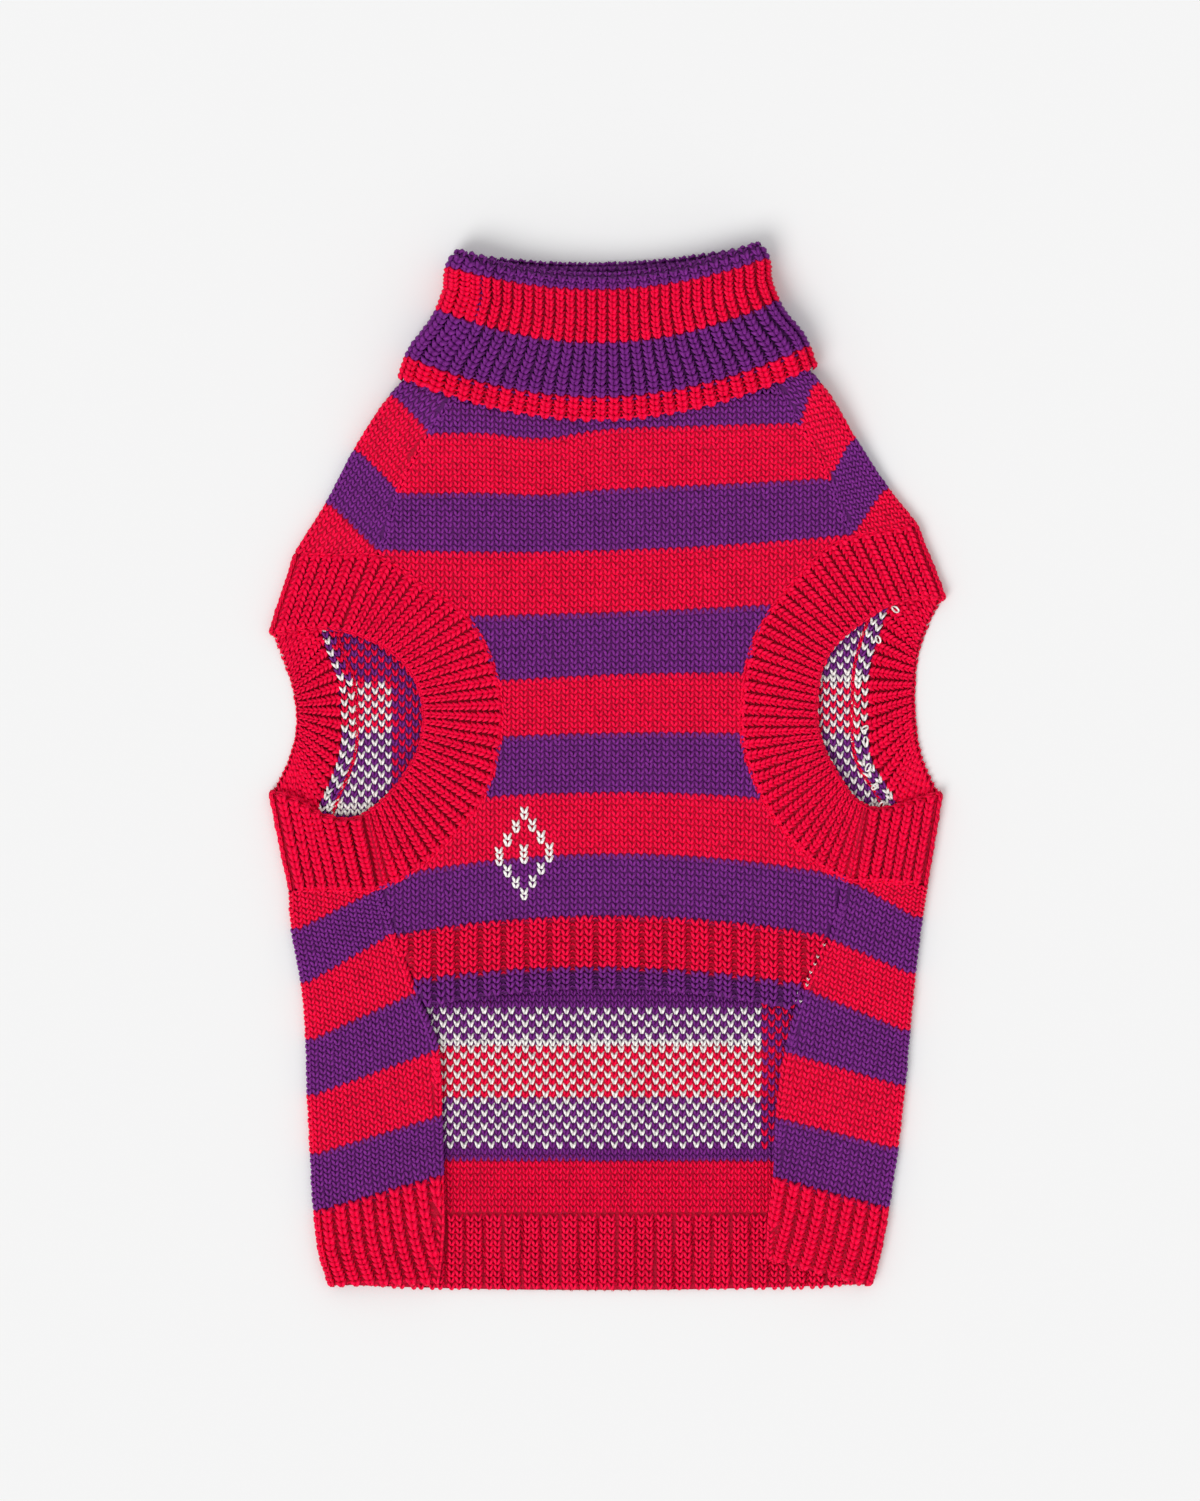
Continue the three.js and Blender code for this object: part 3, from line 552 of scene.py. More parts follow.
def cotton(name, twist):
    material = bpy.data.materials.new(name)
    material.use_nodes = True
    tree = material.node_tree
    tree.nodes.clear()
    yarn = node(tree, "ShaderNodeAttribute", {"attribute_name": "yarn"})
    place = node(tree, "ShaderNodeTexCoord")
    blotch = node(tree, "ShaderNodeTexNoise", Vector=place.outputs["Object"], Scale=WEAR_SCALE,
                  Detail=2.0)
    fibre = node(tree, "ShaderNodeTexNoise", Vector=place.outputs["Object"], Scale=FLECK_SCALE,
                 Detail=2.0)
    wear = node(tree, "ShaderNodeMapRange", i0=blotch.outputs["Fac"], i1=0.3, i2=0.7, i3=0.93, i4=1.07)
    fleck = node(tree, "ShaderNodeMapRange", i0=fibre.outputs["Fac"], i1=0.3, i2=0.7, i3=0.74, i4=1.26)
    tone = node(tree, "ShaderNodeMath", {"operation": "MULTIPLY"}, i0=wear.outputs["Result"],
                i1=fleck.outputs["Result"])
    shaded = node(tree, "ShaderNodeVectorMath", {"operation": "SCALE"}, i0=yarn.outputs["Color"],
                  Scale=tone.outputs["Value"])
    height = fibre.outputs["Fac"]
    if twist:
        legs = node(tree, "ShaderNodeUVMap", {"uv_map": "Yarn"})
        turned = node(tree, "ShaderNodeMapping", Vector=legs.outputs["UV"])
        turned.inputs["Rotation"].default_value[2] = math.radians(TWIST_ANGLE)
        ply = node(tree, "ShaderNodeTexWave", {"wave_profile": "SIN"}, Vector=turned.outputs["Vector"],
                   Scale=TWISTS_ALONG_A_LEG, Distortion=0.6)
        # Painted light and shade of the twist: the colour is made darker in the grooves between the plies
        # and lighter on their crowns
        between = node(tree, "ShaderNodeMapRange", i0=ply.outputs["Fac"], i3=0.84, i4=1.12)
        shaded = node(tree, "ShaderNodeVectorMath", {"operation": "SCALE"}, i0=shaded.outputs["Vector"],
                      Scale=between.outputs["Result"])
        mixed = node(tree, "ShaderNodeMath", {"operation": "MULTIPLY_ADD"}, i0=ply.outputs["Fac"],
                     i1=1.5, i2=fibre.outputs["Fac"])
        height = mixed.outputs["Value"]
    bump = node(tree, "ShaderNodeBump", Height=height, Strength=0.5, Distance=FIBRE_HEIGHT)
    shader = node(tree, "ShaderNodeBsdfPrincipled", Base_Color=shaded.outputs["Vector"],
                  Normal=bump.outputs["Normal"], Roughness=0.6)
    shader.inputs["Specular IOR Level"].default_value = 0.14
    output = node(tree, "ShaderNodeOutputMaterial")
    tree.links.new(shader.outputs["BSDF"], output.inputs["Surface"])
    return material


stitch_cotton = cotton("combed_cotton_two_ply_stitches", twist=True)
ground_cotton = cotton("combed_cotton_purl_ground", twist=False)


# %% Closed shells from grids of points
def grid_normals(points, outwards, ring):
    if ring:
        across = np.roll(points, -1, 1) - np.roll(points, 1, 1)
    else:
        across = np.gradient(points, axis=1)
    along = np.gradient(points, axis=0)
    normal = np.cross(across, along) * outwards
    return normal / np.maximum(np.linalg.norm(normal, axis=-1, keepdims=True), 1e-9)


def wall(points, outwards, colours, outer, inner, ring=False):
    """A closed wall on both sides of a grid of points: its vertices, faces and colours."""
    rows, columns = points.shape[:2]
    normal = grid_normals(points, outwards, ring)
    outside = points + normal * (np.zeros((rows, columns)) + outer)[..., None]
    inside_face = points - normal * (np.zeros((rows, columns)) + inner)[..., None]
    count = rows * columns
    index = np.arange(count).reshape(rows, columns)
    right = np.roll(index, -1, 1) if ring else index[:, 1:]
    left = index if ring else index[:, :-1]
    quads = np.stack([left[:-1], right[:-1], right[1:], left[1:]], -1).reshape(-1, 4)
    rims = [np.stack([left[0], right[0]], -1), np.stack([right[-1], left[-1]], -1)]
    if not ring:
        rims.append(np.stack([index[1:, 0], index[:-1, 0]], -1))
        rims.append(np.stack([index[:-1, -1], index[1:, -1]], -1))
    edge = np.vstack([rim.reshape(-1, 2) for rim in rims])
    walls = np.stack([edge[:, 1], edge[:, 0], edge[:, 0] + count, edge[:, 1] + count], -1)
    faces = np.vstack([quads, quads[:, ::-1] + count, walls])
    if outwards < 0:
        faces = faces[:, ::-1]
    vertices = np.vstack([outside.reshape(-1, 3), inside_face.reshape(-1, 3)])
    paint = np.vstack([np.broadcast_to(side, points.shape).reshape(-1, 3) for side in colours])
    # The ground's colours are the yarn's, darkened by the painted shade
    return vertices, faces, paint * GROUND_PAINTED_SHADE


def cloth(name, *walls):
    """One piece of ground cloth from one wall or more."""
    vertices, faces, paint, start = [], [], [], 0
    for part in walls:
        vertices.append(part[0])
        faces.append(part[1] + start)
        paint.append(part[2])
        start += len(part[0])
    vertices, paint = np.vstack(vertices), np.vstack(paint)
    mesh = bpy.data.meshes.new(name)
    mesh.from_pydata((vertices * MM).tolist(), [], np.vstack(faces).tolist())
    # This colour attribute holds the yarn's colour darkened by the painted shade
    dye = mesh.attributes.new("yarn", "FLOAT_COLOR", "POINT")
    dye.data.foreach_set("color", np.column_stack([paint, np.ones(len(paint))]).ravel())
    mesh.shade_smooth()
    mesh.materials.append(ground_cotton)
    made = bpy.data.objects.new(name, mesh)
    bpy.context.scene.collection.objects.link(made)
    print(name, len(mesh.polygons), "faces")
    return made


# %% Colours of the stripes
def stripe_colour(course):
    """Ten courses of purple, ten of red and so on, above the hem."""
    return np.where(np.floor(np.asarray(course) / STRIPE_COURSES) % 2 == 0, PURPLE, RED)


def belly_colour(course):
    hem = np.where(np.asarray(course) < -8, PURPLE, RED)
    return np.where(np.asarray(course) < 0, hem, stripe_colour(course))


def back_colour(course):
    return np.where(np.asarray(course) < 0, RED, stripe_colour(course))


def collar_colour(course):
    """Red inside, at the turned-over edge and in one broad stripe, and purple between."""
    course = np.asarray(course)
    red = (course < 14) | ((course > 24) & (course <= 33)) | (course > 41.5)
    return np.where(red, RED, PURPLE)


# %% [markdown]
# ## One knitted stitch
# A plain stitch shows as a V: two legs of yarn that start close together behind the stitch below
# and part upwards. Each leg is a short closed tube with few sides and tapered ends, which smooth
# shading rounds off, so that many thousands stay light. From behind the same stitch is a purl
# bump, one short arc across the wale, and it fills the gaps between ribs. A stitch of the ribs is
# squeezed narrow and stands taller. A more open V is used inside, where two colours alternate,
# and the lightest of all on the side that lies on the floor. A loose loop is a closed ring.

# %% The stitches that are repeated
# Columns: across, along and out of the cloth, and the yarn's radius, all in widths of a wale
LEG = (
    (0.03, -0.74, -0.28, 0.0),
    (0.12, -0.42, 0.1, 0.195),
    (0.25, 0.0, 0.22, 0.235),
    (0.38, 0.4, 0.1, 0.195),
    (0.47, 0.74, -0.28, 0.0),
)
OPEN_LEG = (
    (0.02, -0.72, -0.25, 0.0),
    (0.12, -0.38, 0.1, 0.2),
    (0.27, 0.06, 0.22, 0.25),
    (0.40, 0.48, 0.1, 0.2),
    (0.49, 0.84, -0.26, 0.0),
)
RIB_LEG = (
    (0.02, -0.92, -0.28, 0.0),
    (0.11, -0.5, 0.1, 0.22),
    (0.215, 0.0, 0.24, 0.275),
    (0.32, 0.48, 0.12, 0.22),
    (0.39, 0.92, -0.26, 0.0),
)
LIGHT_LEG = (
    (0.05, -0.8, -0.08, 0.0),
    (0.25, 0.0, 0.16, 0.26),
    (0.45, 0.75, -0.08, 0.0),
)
LOOP = tuple(
    (0.3 * math.cos(turn), 0.9 * math.sin(turn), 0.1 * math.cos(2 * turn), 0.17)
    for turn in np.linspace(0.0, 2 * math.pi, 10, endpoint=False)
)
BUMP = (
    (-0.62, -0.22, -0.35, 0.0),
    (-0.34, 0.02, 0.04, 0.2),
    (0.0, 0.12, 0.16, 0.23),
    (0.34, 0.02, 0.04, 0.2),
    (0.62, -0.22, -0.35, 0.0),
)


def tube(path, sides, closed=False):
    """Vertices, faces and face coordinates of a short piece of yarn along a path."""
    spine = np.array([row[:3] for row in path])
    radius = np.array([row[3] for row in path])
    tangent = np.gradient(spine, axis=0)
    if closed:
        tangent = np.roll(spine, -1, 0) - np.roll(spine, 1, 0)
    tangent /= np.linalg.norm(tangent, axis=1, keepdims=True)
    level = np.cross(tangent, [0.0, 0.0, 1.0])
    level /= np.linalg.norm(level, axis=1, keepdims=True)
    rise = np.cross(level, tangent)
    vertices, rings = [], []
    for point, size, flat, high in zip(spine, radius, level, rise):
        count = sides if size > 0 else 1
        angles = 2 * math.pi * (np.arange(count) + 0.5) / count
        rings.append([len(vertices) + k for k in range(count)])
        vertices += [tuple(point + size * (math.cos(a) * flat + math.sin(a) * high)) for a in angles]
    faces, coordinates = [], []
    pairs = list(zip(rings[:-1], rings[1:])) + ([(rings[-1], rings[0])] if closed else [])
    for number, (low, high) in enumerate(pairs):
        for k in range(sides):
            after = (k + 1) % sides
            ring = [low[k % len(low)], low[after % len(low)], high[after % len(high)], high[k % len(high)]]
            corner = [(k, number), (k + 1, number), (k + 1, number + 1), (k, number + 1)]
            kept = [i for i in range(4) if ring[i] not in ring[:i]]
            faces.append([ring[i] for i in kept])
            coordinates += [(corner[i][0] / sides, corner[i][1] / len(pairs)) for i in kept]
    return vertices, faces, coordinates


def stitch_mesh(name, path, sides, mirrored=True, closed=False):
    vertices, faces, coordinates = tube(path, sides, closed)
    if mirrored:
        start = len(vertices)
        vertices = vertices + [(-x, y, z) for x, y, z in vertices]
        flipped, flipped_coordinates, corner = [], [], 0
        for face in faces:
            part = coordinates[corner:corner + len(face)]
            corner += len(face)
            flipped.append([i + start for i in face[::-1]])
            flipped_coordinates += [(1.0 - u / 2, v) for u, v in part[::-1]]
        coordinates = [(u / 2, v) for u, v in coordinates] + flipped_coordinates
        faces = faces + flipped
    mesh = bpy.data.meshes.new(name)
    mesh.from_pydata(vertices, [], faces)
    layer = mesh.uv_layers.new(name="Yarn")
    layer.data.foreach_set("uv", np.array(coordinates).ravel())
    mesh.shade_smooth()
    print(name, sum(len(face) - 2 for face in faces), "triangles")
    return bpy.data.objects.new(name, mesh)


plain_stitch = stitch_mesh("plain_stitch", LEG, 4)
open_stitch = stitch_mesh("open_stitch", OPEN_LEG, 3)
rib_stitch = stitch_mesh("rib_stitch", RIB_LEG, 3)
light_stitch = stitch_mesh("light_stitch", LIGHT_LEG, 3)
purl_stitch = stitch_mesh("purl_stitch", BUMP, 3, mirrored=False)
loose_loop = stitch_mesh("loose_loop", LOOP, 4, mirrored=False, closed=True)

# %% [markdown]
# ## Thousands of stitches with Geometry Nodes
# A cloud of points carries the direction of the wale, the direction out of the cloth, the size
# and the yarn colour of each stitch. One tree copies the stitch to every point, turns and scales
# it, and makes the copies real, because an exported model can't hold instances.

# %% The tree and the function that runs it
def stitch_tree():
    tree = bpy.data.node_groups.new("knit_the_stitches", "GeometryNodeTree")
    sockets = (("Points", "NodeSocketGeometry"), ("Stitch", "NodeSocketObject"),
               ("Fullness", "NodeSocketFloat"), ("Unevenness", "NodeSocketFloat"),
               ("Seed", "NodeSocketInt"), ("Yarn", "NodeSocketMaterial"))
    for label, kind in sockets:
        tree.interface.new_socket(label, in_out="INPUT", socket_type=kind)
    tree.interface.new_socket("Stitches", in_out="OUTPUT", socket_type="NodeSocketGeometry")
    given = node(tree, "NodeGroupInput")
    out_of = node(tree, "GeometryNodeInputNamedAttribute", {"data_type": "FLOAT_VECTOR"}, Name="knit_out")
    up = node(tree, "GeometryNodeInputNamedAttribute", {"data_type": "FLOAT_VECTOR"}, Name="knit_up")
    size = node(tree, "GeometryNodeInputNamedAttribute", {"data_type": "FLOAT_VECTOR"}, Name="knit_size")
    turn = node(tree, "FunctionNodeAxesToRotation", {"primary_axis": "Z", "secondary_axis": "Y"},
                i0=out_of.outputs["Attribute"], i1=up.outputs["Attribute"])
    spread = node(tree, "FunctionNodeRandomValue", {"data_type": "FLOAT"}, Seed=given.outputs["Seed"])
    spread.inputs[2].default_value = -1.0
    spread.inputs[3].default_value = 1.0
    uneven = node(tree, "ShaderNodeMath", {"operation": "MULTIPLY_ADD"}, i0=spread.outputs[1],
                  i1=given.outputs["Unevenness"], i2=given.outputs["Fullness"])
    scaled = node(tree, "ShaderNodeVectorMath", {"operation": "SCALE"}, i0=size.outputs["Attribute"],
                  Scale=uneven.outputs["Value"])
    stitch = node(tree, "GeometryNodeObjectInfo", Object=given.outputs["Stitch"])
    copies = node(tree, "GeometryNodeInstanceOnPoints", Points=given.outputs["Points"],
                  Instance=stitch.outputs["Geometry"], Rotation=turn.outputs["Rotation"],
                  Scale=scaled.outputs["Vector"])
    real = node(tree, "GeometryNodeRealizeInstances", Geometry=copies.outputs["Instances"])
    dyed = node(tree, "GeometryNodeSetMaterial", Geometry=real.outputs["Geometry"],
                Material=given.outputs["Yarn"])
    result = node(tree, "NodeGroupOutput")
    tree.links.new(dyed.outputs["Geometry"], result.inputs["Stitches"])
    return tree


knit_tree = stitch_tree()

# %% [markdown]
# ## Where the stitches go
# The places are gathered as plain numbers first. A stitch is as deep as its wale is wide, times
# one share, and those that face the floor are made shallow enough to rest on it. The knitter's
# hand shows in small errors of place, which come from a fixed seed.

# %% Gather the stitches
DEPTH = 0.72
LEG_REACH = 0.445
RESTING = 0.03
FACES_DOWN = -0.7
OFF_FLOOR = 1.0
FLAT_STEPS = (0.5, 0.5)
WRAP_STEPS = (0.2, 0.4)


def faces_floor(out_z, height):
    return (out_z < FACES_DOWN) & (height < UPPER_REST / 2)


class Stitches:
    """The places of the stitches of one piece, gathered before they are made."""

    def __init__(self):
        self.rows = []

    def add(self, place, up, out, width, height, colour, raise_by=0.0):
        place, up, out = [np.asarray(given, float).reshape(-1, 3) for given in (place, up, out)]
        count = len(place)
        if count == 0:
            return
        wide, high, lift = [np.broadcast_to(given, count) for given in (width, height, raise_by)]
        deep = wide * DEPTH
        rests = faces_floor(out[:, 2], place[:, 2])
        lift = np.where(rests, 0.0, lift)
        deep = np.where(rests, np.minimum(deep, place[:, 2] / LEG_REACH), deep)
        lifted = place + out * lift[:, None]
        paint = YARNS[np.broadcast_to(colour, count).astype(int)]
        self.rows.append(np.column_stack([lifted, up, out, wide, high, deep, paint]))

    def add_kept(self, keep, stance, width, colour, lift=0.0):
        """Adds those stitches of a surface that its outline keeps."""
        place, up, out, height = [part[keep] for part in stance]
        self.add(place, up, out, width, height, np.broadcast_to(colour, len(keep))[keep], lift)

    def data(self):
        return np.vstack(self.rows)

    def seen(self, underneath=False):
        """The stitches that face the floor, or all the others."""
        data = self.data()
        return data[faces_floor(data[:, 8], data[:, 2]) == underneath]


def along_line(data, line, height, spacing, width, colour_of, raise_by):
    """A row of stitches that follows a line drawn on the cloth."""
    length = np.linalg.norm(np.diff(line, axis=0), axis=1).sum()
    count = max(2, int(length / spacing))
    flat = placed(line, (np.arange(count) + 0.5) / count)
    place = np.column_stack([flat, height(flat[:, 1])])
    up = np.gradient(place, axis=0)
    up /= np.linalg.norm(up, axis=1, keepdims=True)
    across = np.cross(up, [0.0, 0.0, 1.0])
    out = np.cross(across / np.linalg.norm(across, axis=1, keepdims=True), up)
    data.add(place, up, out, width, length / count, colour_of(flat[:, 0], flat[:, 1]), raise_by)


def surface_stance(surface, across, course, outwards=1, steps=FLAT_STEPS):
    """Place, up, out and the height of a course, at points of a surface."""
    step_across, step_course = steps
    place = surface(across, course)
    beside = surface(across + step_across, course) - surface(across - step_across, course)
    up = surface(across, course + step_course) - surface(across, course - step_course)
    out = np.cross(beside, up) * outwards
    long, deep = [np.maximum(np.linalg.norm(v, axis=-1, keepdims=True), 1e-9) for v in (up, out)]
    return place, up / long, out / deep, long[..., 0] / 2 / step_course


def wrap_stance(chart, side, across, course):
    def surface(across, course):
        return wrap_surface(chart, side, across, course)
    return surface_stance(surface, across, course, -side, WRAP_STEPS)


def within(outline, stance):
    return inside(outline, stance[0][:, 0], stance[0][:, 1])


def off_floor(stance):
    return stance[0][:, 2] > OFF_FLOOR


def grid(first, second):
    return [axis.ravel() for axis in np.meshgrid(first, second)]


# %% Make the stitches
HAND_WANDER = 0.09
CELL_MARGIN = 0.2


def make_stitches(name, data, stitch=plain_stitch, fullness=1.0, unevenness=0.05, seed=1):
    wander = np.random.default_rng(seed + 100).normal(0.0, HAND_WANDER, (len(data), 3))
    data = np.column_stack([data[:, :3] + wander, data[:, 3:]])
    cloud = bpy.data.meshes.new(name + "_places")
    cloud.from_pydata((data[:, :3] * MM).tolist(), [], [])
    for label, columns, scale in (("knit_up", slice(3, 6), 1.0), ("knit_out", slice(6, 9), 1.0),
                                  ("knit_size", slice(9, 12), MM)):
        attribute = cloud.attributes.new(label, "FLOAT_VECTOR", "POINT")
        attribute.data.foreach_set("vector", (data[:, columns] * scale).ravel())
    paint = cloud.attributes.new("yarn", "FLOAT_COLOR", "POINT")
    paint.data.foreach_set("color", np.column_stack([data[:, 12:15], np.ones(len(data))]).ravel())
    holder = bpy.data.objects.new(name, cloud)
    bpy.context.scene.collection.objects.link(holder)
    modifier = holder.modifiers.new("knit", "NODES")
    modifier.node_group = knit_tree
    values = {"Stitch": stitch, "Fullness": fullness, "Unevenness": unevenness, "Seed": seed,
              "Yarn": stitch_cotton}
    for item in knit_tree.interface.items_tree:
        if item.in_out == "INPUT" and item.name in values:
            modifier[item.identifier] = values[item.name]
    depsgraph = bpy.context.evaluated_depsgraph_get()
    real = bpy.data.meshes.new_from_object(holder.evaluated_get(depsgraph), depsgraph=depsgraph)
    holder.modifiers.remove(modifier)
    holder.data = real
    real.name = name
    flatten_on_floor(real)
    add_bake_cells(real, len(data))
    for label in ("knit_up", "knit_out", "knit_size"):
        if label in real.attributes:
            real.attributes.remove(real.attributes[label])
    triangles = sum(len(p.vertices) - 2 for p in real.polygons)
    print(name, len(data), "stitches,", triangles, "triangles")
    return holder


def flatten_on_floor(mesh):
    """The lowest loops are pressed flat where the sweater rests."""
    points = np.empty(len(mesh.vertices) * 3)
    mesh.vertices.foreach_get("co", points)
    points[2::3] = np.maximum(points[2::3], RESTING * MM)
    mesh.vertices.foreach_set("co", points)


def add_bake_cells(mesh, count):
    """Gives each stitch its own small square of a second UV map, named OFBake."""
    corners = len(mesh.loops) // count
    side = math.ceil(math.sqrt(count))
    local = np.empty(len(mesh.loops) * 2)
    mesh.uv_layers["Yarn"].data.foreach_get("uv", local)
    local = local.reshape(count, corners, 2)
    number = np.arange(count)
    cell = np.stack([number % side, number // side], 1)[:, None, :]
    layer = mesh.uv_layers.new(name="OFBake")
    spread = (cell + CELL_MARGIN + (1 - 2 * CELL_MARGIN) * local) / side
    layer.data.foreach_set("uv", spread.ravel())


# %% [markdown]
# ## The belly panel
# The stitches lie on an even lattice of wales and courses. In the hem the wales stand in pairs
# with a sunken purl wale between, which makes the broad ribs. A small diamond of white stitches
# sits low on the left as the panel's only ornament. A row of stitches lies along each seam, as
# the seam's own thread and the edge wales do on the real one.

# %% Belly's plain stitches and diamond
PLAIN_LIFT = 0.25
HEM_LIFT = 0.95
PURL_LIFT = 0.1
RAGLAN_LIFT = 0.15
EDGE_WALE = 2.9
PURL_WALE = 2.4
HEM_RIB = 9.7
HEM_WALE = 3.8
HEM_COURSES = 12
DIAMOND = {"wale": -10, "course": 10, "reach": 6}


def diamond(wale, course):
    """The white outline and centre of a small diamond."""
    across = np.abs(wale - DIAMOND["wale"])
    off = 2 * across + np.abs(np.floor(course) - DIAMOND["course"])
    return ((off >= DIAMOND["reach"]) & (off <= DIAMOND["reach"] + 1)) | (off <= 1)


belly = Stitches()
wale, course = grid(np.arange(-29, 30), np.arange(0, 88) + 0.5)
stance = surface_stance(belly_surface, wale * WALE, course)
colour = np.where(diamond(wale, course), WHITE, belly_colour(course))
belly.add_kept(within(BELLY_OUTLINE, stance), stance, WALE, colour, PLAIN_LIFT)
for side in (LEFT, RIGHT):
    raglan = columns_of(SLEEVE[side], "edge_x", "edge_y", 0.5, SLEEVE[side]["course"][-1], 40)
    along_line(belly, raglan, upper_height, COURSE, EDGE_WALE,
               lambda x, y: belly_colour(course_at(x, y)), RAGLAN_LIFT)
belly_stitches = make_stitches("belly_stitches", belly.data())

# %% Belly's hem
belly_hem, belly_purl = Stitches(), Stitches()
hem_courses = np.arange(-HEM_COURSES, 0) + 0.5
ribs = np.arange(-10, 11) * HEM_RIB
x, course = grid(np.concatenate([ribs - HEM_WALE / 2, ribs + HEM_WALE / 2]), hem_courses)
stance = surface_stance(belly_surface, x, course)
belly_hem.add_kept(within(BELLY_OUTLINE, stance), stance, HEM_WALE, belly_colour(course), HEM_LIFT)
belly_rib_stitches = make_stitches("belly_rib_stitches", belly_hem.data())
# A purl stitch shows the yarn of the course below it where the stripes change
x, course = grid(ribs + HEM_RIB / 2, hem_courses)
stance = surface_stance(belly_surface, x, course)
colour = np.where((course > -9) & (course < -8), RED, belly_colour(course))
belly_purl.add_kept(within(BELLY_OUTLINE, stance), stance, PURL_WALE, colour, PURL_LIFT)
belly_purl_stitches = make_stitches("belly_purl_stitches", belly_purl.data(), purl_stitch)

# %% White ends of the seam's thread
THREAD_SPECKS = (
    (91.0, -74.0), (88.2, -79.2), (86.9, -82.4), (85.3, -85.6), (84.4, -88.6), (83.9, -91.0),
    (80.2, -94.6), (78.6, -97.6), (81.2, -97.9),
)
THREAD_WIDTH, THREAD_LENGTH, THREAD_LIFT = 1.5, 1.0, 1.5
ALONG_SEAM, UPWARDS = [0.35, 0.94, 0.0], [0.0, 0.0, 1.0]
specks = Stitches()
for x, y in THREAD_SPECKS:
    specks.add([x, y, upper_height(y)], ALONG_SEAM, UPWARDS, THREAD_WIDTH, THREAD_LENGTH, WHITE,
               THREAD_LIFT)
thread_specks = make_stitches("white_thread_specks", specks.data(), light_stitch)

# %% Belly cloth
GROUND_RISE = 0.35
BELLY_BACKING = 0.8
HEM_RIDGE = 6.6


def rib_profile(x, pitch, ridge):
    """1 on a rib and 0 in the gap beside it."""
    from_middle = np.abs((x / pitch + 0.5) % 1.0 - 0.5) * pitch
    return 1.0 - smooth(from_middle, ridge / 2 - 0.6, ridge / 2 + 0.9)


def course_limits(surface, outline, courses, reach=115.0):
    """The courses that lie inside an outline, and how far each of them runs there."""
    x = np.linspace(-reach, reach, 461)
    found = []
    for course in courses:
        points = surface(x, np.full_like(x, course))
        run = x[inside(outline, points[:, 0], points[:, 1])]
        if len(run):
            found.append((course, run.min(), run.max()))
    return np.array(found).T


rows, low, high = course_limits(belly_surface, BELLY_OUTLINE,
                                np.concatenate([[-12.2], np.arange(-12, 86, 1.0)]))
x = low[:, None] + (high - low)[:, None] * np.linspace(0.0, 1.0, 101)
course = np.broadcast_to(rows[:, None], x.shape)
middle = belly_surface(x, course)
middle[..., 1] = np.minimum(middle[..., 1], neck_front(middle[..., 0]))
rise = np.where(course < 0, 0.75 * rib_profile(x, HEM_RIB, HEM_RIDGE) - 0.25, GROUND_RISE)
paint = YARNS[belly_colour(course + 0.01)]
belly_cloth = cloth("belly_cloth", wall(middle, 1, (paint, paint), rise, BELLY_BACKING))

# %% [markdown]
# ## The back panel
# The back wraps round both sides. Its wales run beside the folds on the flaps and round them, and
# its inside shows through the belly cut-out and the armholes. There it is a bird's-eye jacquard:
# two yarns change places on every stitch, so the colours stand like the squares of a draughts
# board. The side on the floor has the same stripes in the lightest stitch.

# %% Back, outside of the flaps
FLAP_RIB = 5.9
FLAP_RIBS = 9
FLAP_EDGE = 1.6
BACK_HEM_COURSES = 13
ROUND_FOLD = (-4.0, -1.5)
HEM_FOLD = (-4.4, -1.0)
HEM_COLUMNS = (
    ("ribs", (np.arange(FLAP_RIBS) + 0.5) * FLAP_RIB, 5.5, HEM_LIFT),
    ("ribs", HEM_FOLD, 3.9, HEM_LIFT / 2),
    ("purl", (np.arange(FLAP_RIBS) + 1.0) * FLAP_RIB, PURL_WALE, PURL_LIFT),
)
back, back_hem = Stitches(), {"ribs": Stitches(), "purl": Stitches()}
for side in (LEFT, RIGHT):
    chart = BACK[side]
    s, course = grid(np.concatenate([ROUND_FOLD, (np.arange(16) + 0.28) * WALE]), np.arange(58) + 0.5)
    stance = wrap_stance(chart, side, s, course)
    over = wrap_lengths(chart, side, course)[1]
    keep = (s < over - 2.6) & ~within(HOLES[side], stance) & off_floor(stance)
    back.add_kept(keep, stance, WALE, back_colour(course), PLAIN_LIFT)
    for kind, columns, wide, lift in HEM_COLUMNS:
        s, course = grid(columns, np.arange(-BACK_HEM_COURSES, 0) + 0.5)
        stance = wrap_stance(chart, side, s, course)
        keep = (s < wrap_lengths(chart, side, course)[1] - 2.5) & off_floor(stance)
        back_hem[kind].add_kept(keep, stance, wide, RED, lift)
    # The flap's edge wale
    course = np.arange(-BACK_HEM_COURSES, 50) + 0.5
    over = wrap_lengths(chart, side, course)[1]
    stance = wrap_stance(chart, side, over - FLAP_EDGE, course)
    back.add_kept(~within(HOLES[side], stance), stance, WALE, back_colour(course), PLAIN_LIFT)
back_flap_stitches = make_stitches("back_flap_stitches", back.data())
back_rib_stitches = make_stitches("back_rib_stitches", back_hem["ribs"].data(), rib_stitch)
back_purl_stitches = make_stitches("back_purl_stitches", back_hem["purl"].data(), purl_stitch)

# %% Back, inside: the jacquard bands
INSIDE_WALE = 2.88
INSIDE_COURSE = 2.69
INSIDE_RIB = 8.0
INSIDE_LIFT = 0.35
PLAIN_TOP = -160.4
RED_TOP = -164.6
CHEST_BAND_FROM, CHEST_BAND_TO = 36.0, 39.0
BANDS = table(
    "low high first second",
    (PLAIN_TOP, -139.0, WHITE, PURPLE),
    (-139.0, -117.0, WHITE, RED),
    (-117.0, -114.9, WHITE, WHITE),
    (-114.9, -100.4, WHITE, PURPLE),
    (-19.0, -16.0, WHITE, WHITE),
    (-16.0, 14.0, WHITE, PURPLE),
    (14.0, CHEST_BAND_FROM, WHITE, RED),
    (CHEST_BAND_FROM, 80.0, RED, PURPLE),
)


